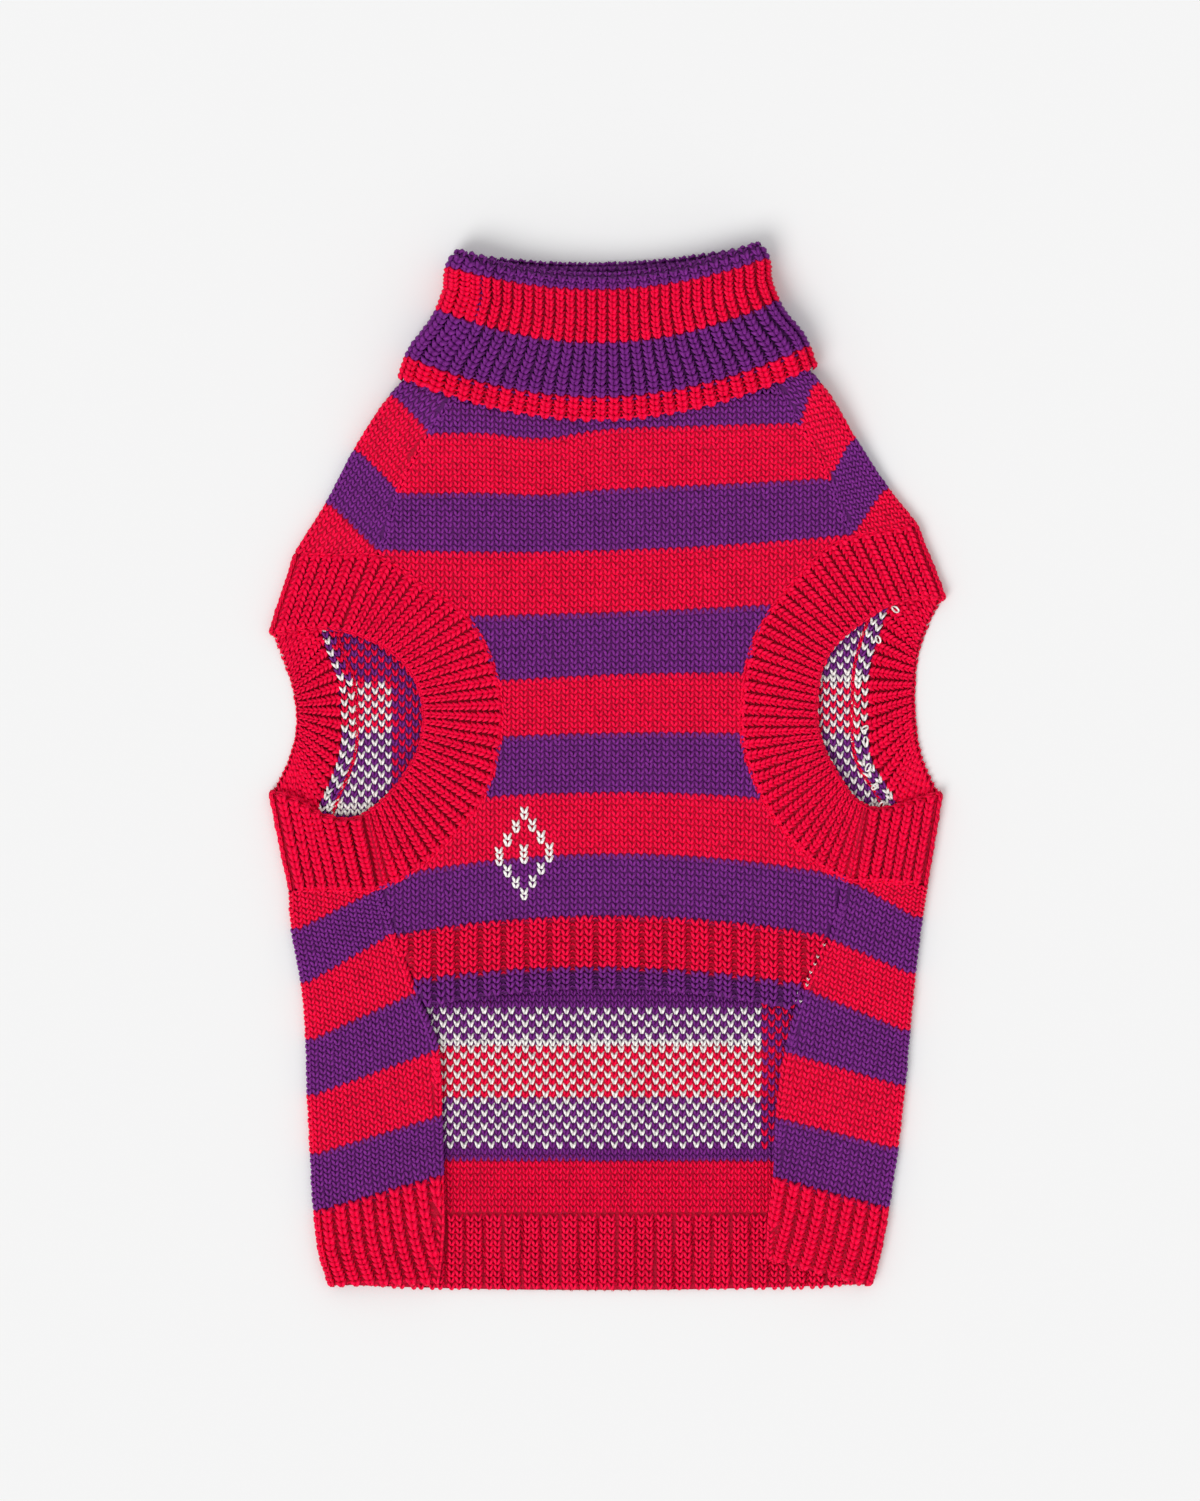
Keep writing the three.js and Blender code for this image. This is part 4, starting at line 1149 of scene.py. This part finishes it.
def jacquard(column, row, x, y):
    """The two yarns of the bird's-eye bands, by height, on alternate stitches."""
    first = np.full(np.shape(y), PURPLE)
    second = np.full(np.shape(y), PURPLE)

    def dye(where, one, other):
        first[where] = one
        second[where] = other

    for low, high, one, other in zip(*BANDS.values()):
        dye((y >= low) & (y < high), one, other)
    first[(x > 0) & (y >= CHEST_BAND_FROM)] = WHITE
    second[(x > 0) & (y >= CHEST_BAND_FROM) & (y < CHEST_BAND_TO)] = WHITE
    dye((x > 64.0) & (y > PLAIN_TOP) & (y < -90), RED, PURPLE)
    dye((x > -89.5) & (x < -60) & (y > -60), RED, PURPLE)
    dye(y < RED_TOP, RED, RED)
    return np.where((column + row) % 2 == 0, first, second)


# %% Back, inside: the stitches that can be seen
VIEW_SPREAD = 1.2
INSIDE_HEM_TOP = -188.0
INSIDE_HEM_COURSE = 2.6
INSIDE_HEM_WALE = 3.35
INSIDE_HEM_LIFT = 0.9


def armhole_view(x, y):
    """Where the back's inside can be seen through an armhole."""
    seen = np.zeros(np.shape(x), bool)
    for side in (LEFT, RIGHT):
        edge = SEAMS[side]["belly_edge"]
        seam = SEAMS[side]["back_seam"]
        centre = edge.mean(0)
        limit = np.interp(y, seam[:, 1], seam[:, 0])
        seen |= inside((edge - centre) * VIEW_SPREAD + centre, x, y) & (x * side < limit * side - 5.0)
    return seen


def lay_flat(data, keep, x, y, wide, high, colour, lift=0.0, facing=1.0):
    """Stitches on the lower layer, facing up or down."""
    place = lower_surface(x, y)[keep]
    up, out = np.tile([0.0, 1.0, 0.0], (len(place), 1)), np.tile([0.0, 0.0, facing], (len(place), 1))
    data.add(place, up, out, wide, high, np.broadcast_to(colour, len(x))[keep], lift)


inner, inner_hem = Stitches(), Stitches()
column, row = grid(np.arange(-46, 47), np.arange(-70, 30))
x, y = column * INSIDE_WALE, row * INSIDE_COURSE
keep = (((y < -88) & (np.abs(x) < 84)) | armhole_view(x, y)) & (y > INSIDE_HEM_TOP)
lay_flat(inner, keep, x, y, INSIDE_WALE * 1.04, INSIDE_COURSE, jacquard(column, row, x, y), INSIDE_LIFT)
inside_stitches = make_stitches("back_inside_stitches", inner.data(), open_stitch, seed=5)
# The hem's courses draw together a little towards the folds
ribs = np.arange(-14, 15) * INSIDE_RIB
x, course = grid(np.concatenate([ribs - 1.65, ribs + 1.65]), np.arange(HEM_COURSES) + 0.5)
y = INSIDE_HEM_TOP - course * (INSIDE_HEM_COURSE - 0.19 * smooth(np.abs(x), 80.0, 112.0))
lay_flat(inner_hem, np.abs(x) < 113, x, y, INSIDE_HEM_WALE, INSIDE_HEM_COURSE, RED, INSIDE_HEM_LIFT)
inside_rib_stitches = make_stitches("back_inside_rib_stitches", inner_hem.data())

# %% Seam allowances inside the armholes
# Two edge wales, the outer one caught with white, and a narrow wale of the armband's red
ALLOWANCE_INSETS = (1.6, 4.6)
JOINED_INSET = 6.7
allowance = Stitches()
for side in (LEFT, RIGHT):
    seam = SEAMS[side]["back_seam"]
    line = seam[(seam[:, 1] > -26) & (seam[:, 1] < 74)]
    for step, inset in enumerate(ALLOWANCE_INSETS):
        def yarn_at(x, y, step=step):
            row = np.round(y / INSIDE_COURSE).astype(int)
            colour = jacquard(np.full(len(y), step), row, x, y)
            return np.where((step == 0) & (row % 2 == 0), WHITE, colour)

        shifted = line - np.array([side * inset, 0.0])
        along_line(allowance, shifted, lower_height, INSIDE_COURSE, 3.1, yarn_at, 1.3)
    joined = line - np.array([side * JOINED_INSET, 0.0])
    along_line(allowance, joined, lower_height, INSIDE_COURSE, 1.7,
               lambda x, y: np.full(len(x), RED), 1.0)
allowance_stitches = make_stitches("armhole_allowance_stitches", allowance.data(), open_stitch, seed=6)

# %% Loose loops of the white yarn on the right allowance
# Place of each, and its turn in degrees
LOOSE_LOOPS = (
    (121.0, 66.9, -50), (113.6, 54.2, -20), (108.3, 16.5, 60), (108.6, 11.4, 0),
    (109.6, 0.4, 25), (112.4, -7.9, 50), (115.0, -15.7, 40),
)
LOOP_WIDTH, LOOP_LENGTH, LOOP_LIFT = 3.0, 1.9, 2.6
loops_of_yarn = Stitches()
for x, y, turn in LOOSE_LOOPS:
    lean = math.radians(turn)
    loops_of_yarn.add([x, y, lower_height(y)], [math.sin(lean), math.cos(lean), 0.0], UPWARDS,
                      LOOP_WIDTH, LOOP_LENGTH, WHITE, LOOP_LIFT)
loose_loops = make_stitches("loose_white_loops", loops_of_yarn.data(), loose_loop, seed=7)

# %% Back, the side that lies on the floor
FIRST_FLAT_COURSE = 56
FIRST_FLAT_Y = -47.0
resting = Stitches()
for side in (LEFT, RIGHT):
    chart = BACK[side]
    courses = np.arange(-BACK_HEM_COURSES, FIRST_FLAT_COURSE) + 0.5
    run, course = grid((np.arange(36) + 0.3) * WALE, courses)
    radius, over, below = wrap_lengths(chart, side, course)
    stance = wrap_stance(chart, side, -math.pi * radius - run, course)
    resting.add_kept(run < below - 1.0, stance, WALE, back_colour(course))
wale, course = grid(np.arange(-37, 38), np.arange(FIRST_FLAT_COURSE, 137) + 0.5)
x, y = wale * WALE, FIRST_FLAT_Y + (course - FIRST_FLAT_COURSE) * COURSE
lay_flat(resting, inside(BACK_OUTLINE, x, y), x, y, WALE, COURSE, back_colour(course), facing=-1.0)
back_resting_stitches = make_stitches("back_resting_stitches", resting.data(), light_stitch)

# %% Back cloth, wrapped part
ARMHOLE_FOOT = {LEFT: -51.4, RIGHT: -48.6}
UNDER_COLUMNS = 70
FLAP_COLUMNS = 24
BEND_COLUMNS = 7
INSIDE_RIDGE = 5.2
RED_BAND = (-139.5, -117)


def back_half(side, course):
    """A flap and its fold at one course, from the flap's edge to the lower layer."""
    chart = BACK[side]
    radius, over, below = [float(value) for value in wrap_lengths(chart, side, course)]
    start = float(read(chart, "fold_y", course))
    climb = (float(read(chart, "edge_y", course)) - start) / over
    over = min(over, max(0.4, (ARMHOLE_FOOT[side] - start) / climb))
    flap = np.linspace(1.0, 0.0, FLAP_COLUMNS) * over
    bend = -np.linspace(0.0, 1.0, BEND_COLUMNS)[1:-1] * math.pi * radius
    across = np.concatenate([flap, bend])
    return wrap_surface(chart, side, across, np.full_like(across, course))


def back_row(course):
    """Both flaps, folds and the lower layer at one course, from edge to edge."""
    left, right = back_half(LEFT, course), back_half(RIGHT, course)[::-1]
    start, end = left[-1], right[0]
    share = np.linspace(0.0, 1.0, UNDER_COLUMNS)
    bend = float(read(BACK[LEFT], "under_y", course)) - (start[1] + end[1]) / 2
    y = start[1] * (1 - share) + end[1] * share + bend * (1 - (2 * share - 1) ** 2)
    under = np.stack([start[0] * (1 - share) + end[0] * share, y, lower_height(y)], 1)
    under[0], under[-1] = start, end
    return np.vstack([left[:-1], under, right[1:]])


rows = np.concatenate([np.arange(-BACK_HEM_COURSES, FIRST_FLAT_COURSE, 1.0), [56.2]])
middle = np.stack([back_row(course) for course in rows])
course = np.broadcast_to(rows[:, None], middle.shape[:2])
y = middle[..., 1]
red_inside = (y < RED_TOP) | ((y > RED_BAND[0]) & (y < RED_BAND[1]))
inside_paint = YARNS[np.where(red_inside, RED, PURPLE)]
inner_ribs = 0.95 * rib_profile(middle[..., 0], INSIDE_RIB, INSIDE_RIDGE) - 0.55
inner_rise = np.where(course < 0, inner_ribs, GROUND_RISE)
outside_paint = YARNS[back_colour(course + 0.01)]
lower_wall = wall(middle, -1, (outside_paint, inside_paint), GROUND_RISE, inner_rise)
join = middle[-1][28:-28]

# %% Back cloth, flat part above the folds
x = np.linspace(-140.0, 140.0, 561)
lines = []
for y in np.arange(-46.0, 170.0, 3.0):
    run = x[inside(BACK_OUTLINE, x, np.full_like(x, y))]
    if len(run) > 4:
        lines.append((y, run.min(), run.max()))
lines = np.array(lines)
share = np.linspace(0.0, 1.0, UNDER_COLUMNS)
grid_x = lines[:, 1:2] + (lines[:, 2:3] - lines[:, 1:2]) * share
grid_y = np.repeat(lines[:, 0:1], len(share), axis=1)
grid_y[0] = np.interp(grid_x[0], join[:, 0], join[:, 1]) - 0.8
middle = lower_surface(grid_x, grid_y)
middle[..., 1] = np.minimum(middle[..., 1], neck_back(middle[..., 0]))
course = (grid_y - FIRST_FLAT_Y) / COURSE + FIRST_FLAT_COURSE
purple_inside = YARNS[np.full(course.shape, PURPLE)]
upper_wall = wall(middle, -1, (YARNS[back_colour(course)], purple_inside), GROUND_RISE, GROUND_RISE)
back_cloth = cloth("back_cloth", lower_wall, upper_wall)

# %% [markdown]
# ## The raglan sleeves
# A sleeve's courses run from the folded outline down to the raglan seam, so its stripes slant
# against those of the body. The lattice starts at the fold and is cut by the two raglan seams
# and by the armband.

# %% Sleeves
SLEEVE_WALE = 3.05
SLEEVE_FIRST = -8
SLEEVE_ROWS = 36
SLEEVE_BACKING = 0.5
BELOW_THE_FOLD = (-8.5, -5.6, -3.1, -0.9)


def sleeve_stitches(name, side):
    chart = SLEEVE[side]
    wales = np.concatenate([BELOW_THE_FOLD, (np.arange(14) + 0.6) * SLEEVE_WALE])
    s, course = grid(wales, np.arange(SLEEVE_FIRST, chart["course"][-1]) + 0.5)
    stance = wrap_stance(chart, side, s, course)
    radius, over, below = wrap_lengths(chart, side, course)
    keep = (s < over - 1.8) & (s > -math.pi * radius - below + 1.0)
    keep &= ~within(HOLES[side], stance) & off_floor(stance)
    data = Stitches()
    data.add_kept(keep, stance, SLEEVE_WALE, stripe_colour(course), PLAIN_LIFT)
    return make_stitches(name + "_stitches", data.data(), seed=10 + side)


def sleeve_row(side, course):
    """One course from the raglan seam on top, round the fold, to the seam underneath."""
    bend, over, below = [float(length) for length in wrap_lengths(SLEEVE[side], side, course)]
    across = np.concatenate([np.linspace(over, 0, 16)[:-1], -np.linspace(0, math.pi * bend, 8)[:-1],
                             -math.pi * bend - np.linspace(0, below, 8)])
    points = wrap_surface(SLEEVE[side], side, across, np.full_like(across, course))
    seam = SEAMS[side]["belly_seam"][:120]
    order = np.argsort(seam[:, 0])
    foot = np.interp(points[:, 0], seam[order, 0], seam[order, 1])
    points[:, 1] = np.maximum(points[:, 1], foot + 0.3 + 0.01 * (course - SLEEVE_FIRST))
    return points


sleeve_parts = {}
for side in (LEFT, RIGHT):
    name = "sleeve_" + SIDE_NAMES[side]
    stitches = sleeve_stitches(name, side)
    rows = np.linspace(SLEEVE_FIRST, SLEEVE[side]["course"][-1], SLEEVE_ROWS)
    middle = np.stack([sleeve_row(side, value) for value in rows])
    course = np.broadcast_to(rows[:, None], middle.shape[:2])
    paint = YARNS[stripe_colour(course + 0.01)]
    shell = wall(middle, side, (paint, paint), GROUND_RISE, SLEEVE_BACKING)
    sleeve_parts[side] = (cloth(name + "_cloth", shell), stitches)

# %% [markdown]
# ## The armbands and the collar
# Both are knitted in a one and one rib: a column of plain stitches stands up and the purl column
# beside it sinks back. Each stands on the odd columns of its ring. Underneath, the armband's
# inside shows through the armhole, so its ribs stand on that side too. A cast-off chain closes
# the free edge, and a picked-up row of stitches follows the seam.

# %% Rings of rib
def ring_grid(loops, per_rib):
    """A finer ring, and how far each of its points is up a rib."""
    columns = loops.shape[1]
    position = np.arange(0, columns, 2.0 / per_rib)
    low = np.floor(position).astype(int)
    share = (position - low)[None, :, None]
    fine = loops[:, low % columns] * (1 - share) + loops[:, (low + 1) % columns] * share
    ridge = 0.5 - 0.5 * np.cos(math.pi * position)
    return fine, np.broadcast_to(ridge, fine.shape[:2])


def ring_frame(loops, outwards):
    across = np.roll(loops, -1, 1) - np.roll(loops, 1, 1)
    up = np.gradient(loops, axis=0)
    out = np.cross(across, up) * outwards
    out /= np.linalg.norm(out, axis=-1, keepdims=True)
    return across, up, out


def add_ring(data, laid, loops, columns, width_share, colour, lift, turned=False):
    """Stitches on chosen columns of a ring, on its outside or its inside."""
    across, up, out = [part[:, columns] for part in laid]
    length = np.linalg.norm(up, axis=-1)
    width = np.linalg.norm(across, axis=-1) * width_share
    colour = np.broadcast_to(np.asarray(colour).reshape(-1, 1), length.shape).ravel()
    lift = np.broadcast_to(lift, length.shape).ravel()
    data.add(loops[:, columns], up / length[..., None], -out if turned else out, width.ravel(),
             length.ravel(), colour, lift)


def chain(data, loops, edge, outwards, columns, wide):
    """The cast-off chain, whose stitches lie on their sides along the free edge."""
    here = edge[columns]
    along = (np.roll(edge, -1, 0) - np.roll(edge, 1, 0))[columns]
    away = here - loops[-1][columns]
    away /= np.linalg.norm(away, axis=1, keepdims=True)
    length = np.linalg.norm(along, axis=1)
    face = np.cross(along, away) * outwards
    face /= np.linalg.norm(face, axis=1, keepdims=True)
    data.add(here, along / length[:, None], away * 0.7 + face * 0.7, wide, length * 0.8, RED, 0.1)


# %% Armbands' stitches
BAND_LIFT_OUT = 0.6
BAND_LIFT_IN = 0.95
BAND_SEAM_LIFT = 0.35
CHAIN_WIDTH = 2.7
INSIDE_COURSES = 9
# The column where each armband creases, and how far the columns beside it rise or sink
CREASE = {LEFT: 82, RIGHT: 84}
CREASE_STEPS = {-3: -0.4, -1: -1.0, 1: 1.4, 3: 0.8}
top_count = 2 * BAND_RIBS["belly"] + 1
fold_count = 2 * BAND_RIBS["fold"] - 1
under_start = top_count + fold_count
under_end = under_start + 2 * BAND_RIBS["back"] + 1
fold_columns = np.array([top_count + fold_count // 2, under_end + fold_count // 2])


def band_rings(side, courses):
    """Loops at the middle of each course, and their directions."""
    loops = np.stack([band_loop(side, share) for share in (np.arange(courses) + 0.5) / courses])
    return loops, ring_frame(loops, side)


def band_stitches(side):
    data = Stitches()
    loops, laid = band_rings(side, BAND_COURSES)
    odd = np.arange(1, loops.shape[1], 2)
    lift = np.full(len(odd), BAND_LIFT_OUT)
    for offset, step in CREASE_STEPS.items():
        lift[odd == CREASE[side] + offset] += step
    add_ring(data, laid, loops, odd, 1.0, RED, lift)
    add_ring(data, laid, loops, fold_columns, 1.0, RED, BAND_LIFT_OUT)
    inner_loops, inner_laid = band_rings(side, INSIDE_COURSES)
    inside_ribs = np.arange(under_start + 1, under_end, 2)
    add_ring(data, inner_laid, inner_loops, inside_ribs, 1.0, RED, BAND_LIFT_IN, turned=True)
    for at in fold_columns:
        beside = np.array([at - 1, at + 1])
        add_ring(data, inner_laid, inner_loops, beside, 0.9, RED, 0.3, turned=True)
    chain(data, loops, band_loop(side, 1.0), side, odd, CHAIN_WIDTH)
    along_line(data, SEAMS[side]["belly_seam"][4:-4], upper_height, COURSE, EDGE_WALE,
               lambda x, y: np.full(len(x), RED), BAND_SEAM_LIFT)
    return data


# %% Armbands
band_parts = {}
for side in (LEFT, RIGHT):
    name = "armband_" + SIDE_NAMES[side]
    data = band_stitches(side)
    stitches = make_stitches(name + "_stitches", data.seen(), rib_stitch, seed=20 + side)
    resting_stitches = make_stitches(name + "_resting_stitches", data.seen(underneath=True), light_stitch)
    loops = np.stack([band_loop(side, share) for share in np.linspace(0, 1, BAND_COURSES + 1)])
    fine, ridge = ring_grid(loops, 4)
    rests = fine[..., 2] < 1.5
    relief = 0.75 * ridge - 0.25
    paint = YARNS[RED]
    shell = wall(fine, side, (paint, paint), np.where(rests, 0.5, relief), np.where(rests, relief, 0.5),
                 ring=True)
    band_parts[side] = (cloth(name + "_cloth", shell), stitches, resting_stitches)

# %% [markdown]
# The collar is knitted as a tube and turned down outwards, so its stitches point the other way
# below the fold. A seam closes it at the left, where one column of purple yarn shows between
# the ribs and the columns beside it are plain.

# %% Collar's stitches
COLLAR_LIFT = 0.65
COLLAR_COURSES = 46
FOLD_COURSE = 21.5
TURNED_FROM, TURNED_TO = 22, 42
SEAM_COLUMN = 4
SEAM_YARN_LIFT = 0.35
SEAM_STEP = {1: -0.2, 3: -0.45, 5: 1.0, 7: 0.5}
PLAIN_COLUMNS = 3
PLAIN_SHARE, RIB_SHARE = 1.35, 1.02
FOLD_PURL_LIFT = 0.3
FOLD_PURL_REACH = 2.1
courses = np.arange(COLLAR_COURSES) + 0.3
loops = np.stack([collar_loop(value) for value in courses])
laid = ring_frame(loops, -1)
odd = np.arange(1, loops.shape[1], 2)
even = odd - 1
lift = np.full((len(courses), len(odd)), COLLAR_LIFT)
turned_over = (courses > TURNED_FROM) & (courses < TURNED_TO)
for column, step in SEAM_STEP.items():
    lift[turned_over, list(odd).index(column)] += step
turn = np.where(courses > FOLD_COURSE, -1.0, 1.0)[:, None, None]
pointing = (laid[0], laid[1] * turn, laid[2])
beside_seam = (odd < SEAM_COLUMN) | (odd > loops.shape[1] - PLAIN_COLUMNS)


def some_rows(rows, parts):
    return [part[rows] for part in parts]


data = Stitches()
add_ring(data, pointing, loops, odd, np.where(beside_seam, PLAIN_SHARE, RIB_SHARE),
         collar_colour(courses), lift)
add_ring(data, some_rows(turned_over, pointing), loops[turned_over], np.array([SEAM_COLUMN]), 0.55,
         PURPLE, SEAM_YARN_LIFT)
collar_stitches = make_stitches("collar_stitches", data.seen(), rib_stitch, seed=30)
collar_resting = make_stitches("collar_resting_stitches", data.seen(underneath=True), light_stitch)

# %% Collar's purl columns, where they show
# They show between the ribs of the red edge, and the first of them carry the old yarn. Stretched
# round the fold, they come up almost level with the ribs.
purl = Stitches()
red_edge = courses > 40
old_yarn = np.where(courses[red_edge] < 42.6, PURPLE, RED)
add_ring(purl, some_rows(red_edge, laid), loops[red_edge], even[even != SEAM_COLUMN], 0.7, old_yarn,
         PURL_LIFT)
round_fold = np.abs(courses - FOLD_COURSE) < FOLD_PURL_REACH
add_ring(purl, some_rows(round_fold, laid), loops[round_fold], even, 0.8, PURPLE, FOLD_PURL_LIFT)
collar_purl_stitches = make_stitches("collar_purl_stitches", purl.data(), purl_stitch, seed=31)

# %% Collar cloth
rows = np.linspace(0, 45.5, 50)
fine, ridge = ring_grid(np.stack([collar_loop(value) for value in rows]), 4)
paint = YARNS[np.broadcast_to(collar_colour(rows)[:, None], ridge.shape)]
at_fold = 1.0 - smooth(np.abs(rows - FOLD_COURSE), 1.5, 4.0)
relief = 0.8 * ridge - 0.3 + 0.75 * at_fold[:, None]
collar_cloth = cloth("collar_cloth", wall(fine, -1, (paint, paint), relief, 0.5, ring=True))
flatten_on_floor(collar_cloth.data)

# %% [markdown]
# ## Bodies
# A sweater has no joint, so every piece rides on the one body. Each ground cloth stands for its
# imported solid, which is hidden, and the stitches on it ride on the same body.


def declare(cloth, stitches, nodes):
    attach(cloth, "root")
    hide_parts(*nodes)
    for piece in stitches:
        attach(piece, "root")


declare(back_cloth, [back_flap_stitches, back_rib_stitches, back_purl_stitches, inside_stitches,
                     inside_rib_stitches, allowance_stitches, loose_loops, back_resting_stitches],
        ["back"])
declare(belly_cloth, [belly_stitches, belly_rib_stitches, belly_purl_stitches, thread_specks],
        ["belly"])
for side in (LEFT, RIGHT):
    name = SIDE_NAMES[side]
    sleeve, stitches = sleeve_parts[side]
    declare(sleeve, [stitches], ["sleeve_" + name])
    band, stitches, resting_stitches = band_parts[side]
    declare(band, [stitches, resting_stitches], ["armband_" + name])
declare(collar_cloth, [collar_stitches, collar_resting, collar_purl_stitches],
        ["collar"])

# %% [markdown]
# ## Floor, light and camera
# The sweater lies on a pale sweep and is seen from straight above. One broad soft light stands
# at the lower left, so the shadows fall to the upper right, and an even sky fills them. The sweep
# is matt white paper, which has almost no gloss.

# %% Floor
def add_floor(reach=6.0):
    mesh = bpy.data.meshes.new("floor")
    corners = [(-reach, -reach, 0), (reach, -reach, 0), (reach, reach, 0), (-reach, reach, 0)]
    mesh.from_pydata(corners, [], [(0, 1, 2, 3)])
    floor = bpy.data.objects.new("floor", mesh)
    bpy.context.scene.collection.objects.link(floor)
    material = bpy.data.materials.new("matt_white_paper_sweep")
    material.use_nodes = True
    shader = material.node_tree.nodes["Principled BSDF"]
    shader.inputs["Base Color"].default_value = (*hex_linear("#f3f3f3"), 1.0)
    shader.inputs["Roughness"].default_value = 0.9
    shader.inputs["Specular IOR Level"].default_value = 0.1
    mesh.materials.append(material)


add_floor()

# %% Light
SKY_STRENGTH = 0.68
WINDOW_STRENGTH = 1.45
WINDOW_WIDTH = 34
WINDOW_TILT, WINDOW_TURN = 42, -38
scene = bpy.context.scene
scene.view_settings.view_transform = "Standard"
world = bpy.data.worlds.new("even_sky")
world.use_nodes = True
sky = world.node_tree.nodes["Background"]
sky.inputs["Color"].default_value = (1.0, 1.0, 1.0, 1.0)
sky.inputs["Strength"].default_value = SKY_STRENGTH
scene.world = world
# A soft window to the lower left, wide enough that its shadows have no hard edge
window = bpy.data.lights.new("soft_window", "SUN")
window.energy = WINDOW_STRENGTH
window.angle = math.radians(WINDOW_WIDTH)
lamp = bpy.data.objects.new("soft_window", window)
lamp.rotation_euler = (math.radians(WINDOW_TILT), 0.0, math.radians(WINDOW_TURN))
scene.collection.objects.link(lamp)

# %% Camera
# It looks straight down from two metres, and the frame is as high as the photograph's
PHOTO_HEIGHT = 630.4
CAMERA_PLACE = (-3.15, 7.35, 2000.0)
CLOTH_TOP = 6.0
SENSOR = 36.0
camera = bpy.data.cameras.new("camera")
camera.sensor_width = SENSOR
camera.lens = SENSOR * (CAMERA_PLACE[2] - CLOTH_TOP) / PHOTO_HEIGHT
eye = bpy.data.objects.new("camera", camera)
eye.location = [value * MM for value in CAMERA_PLACE]
scene.collection.objects.link(eye)
scene.camera = eye
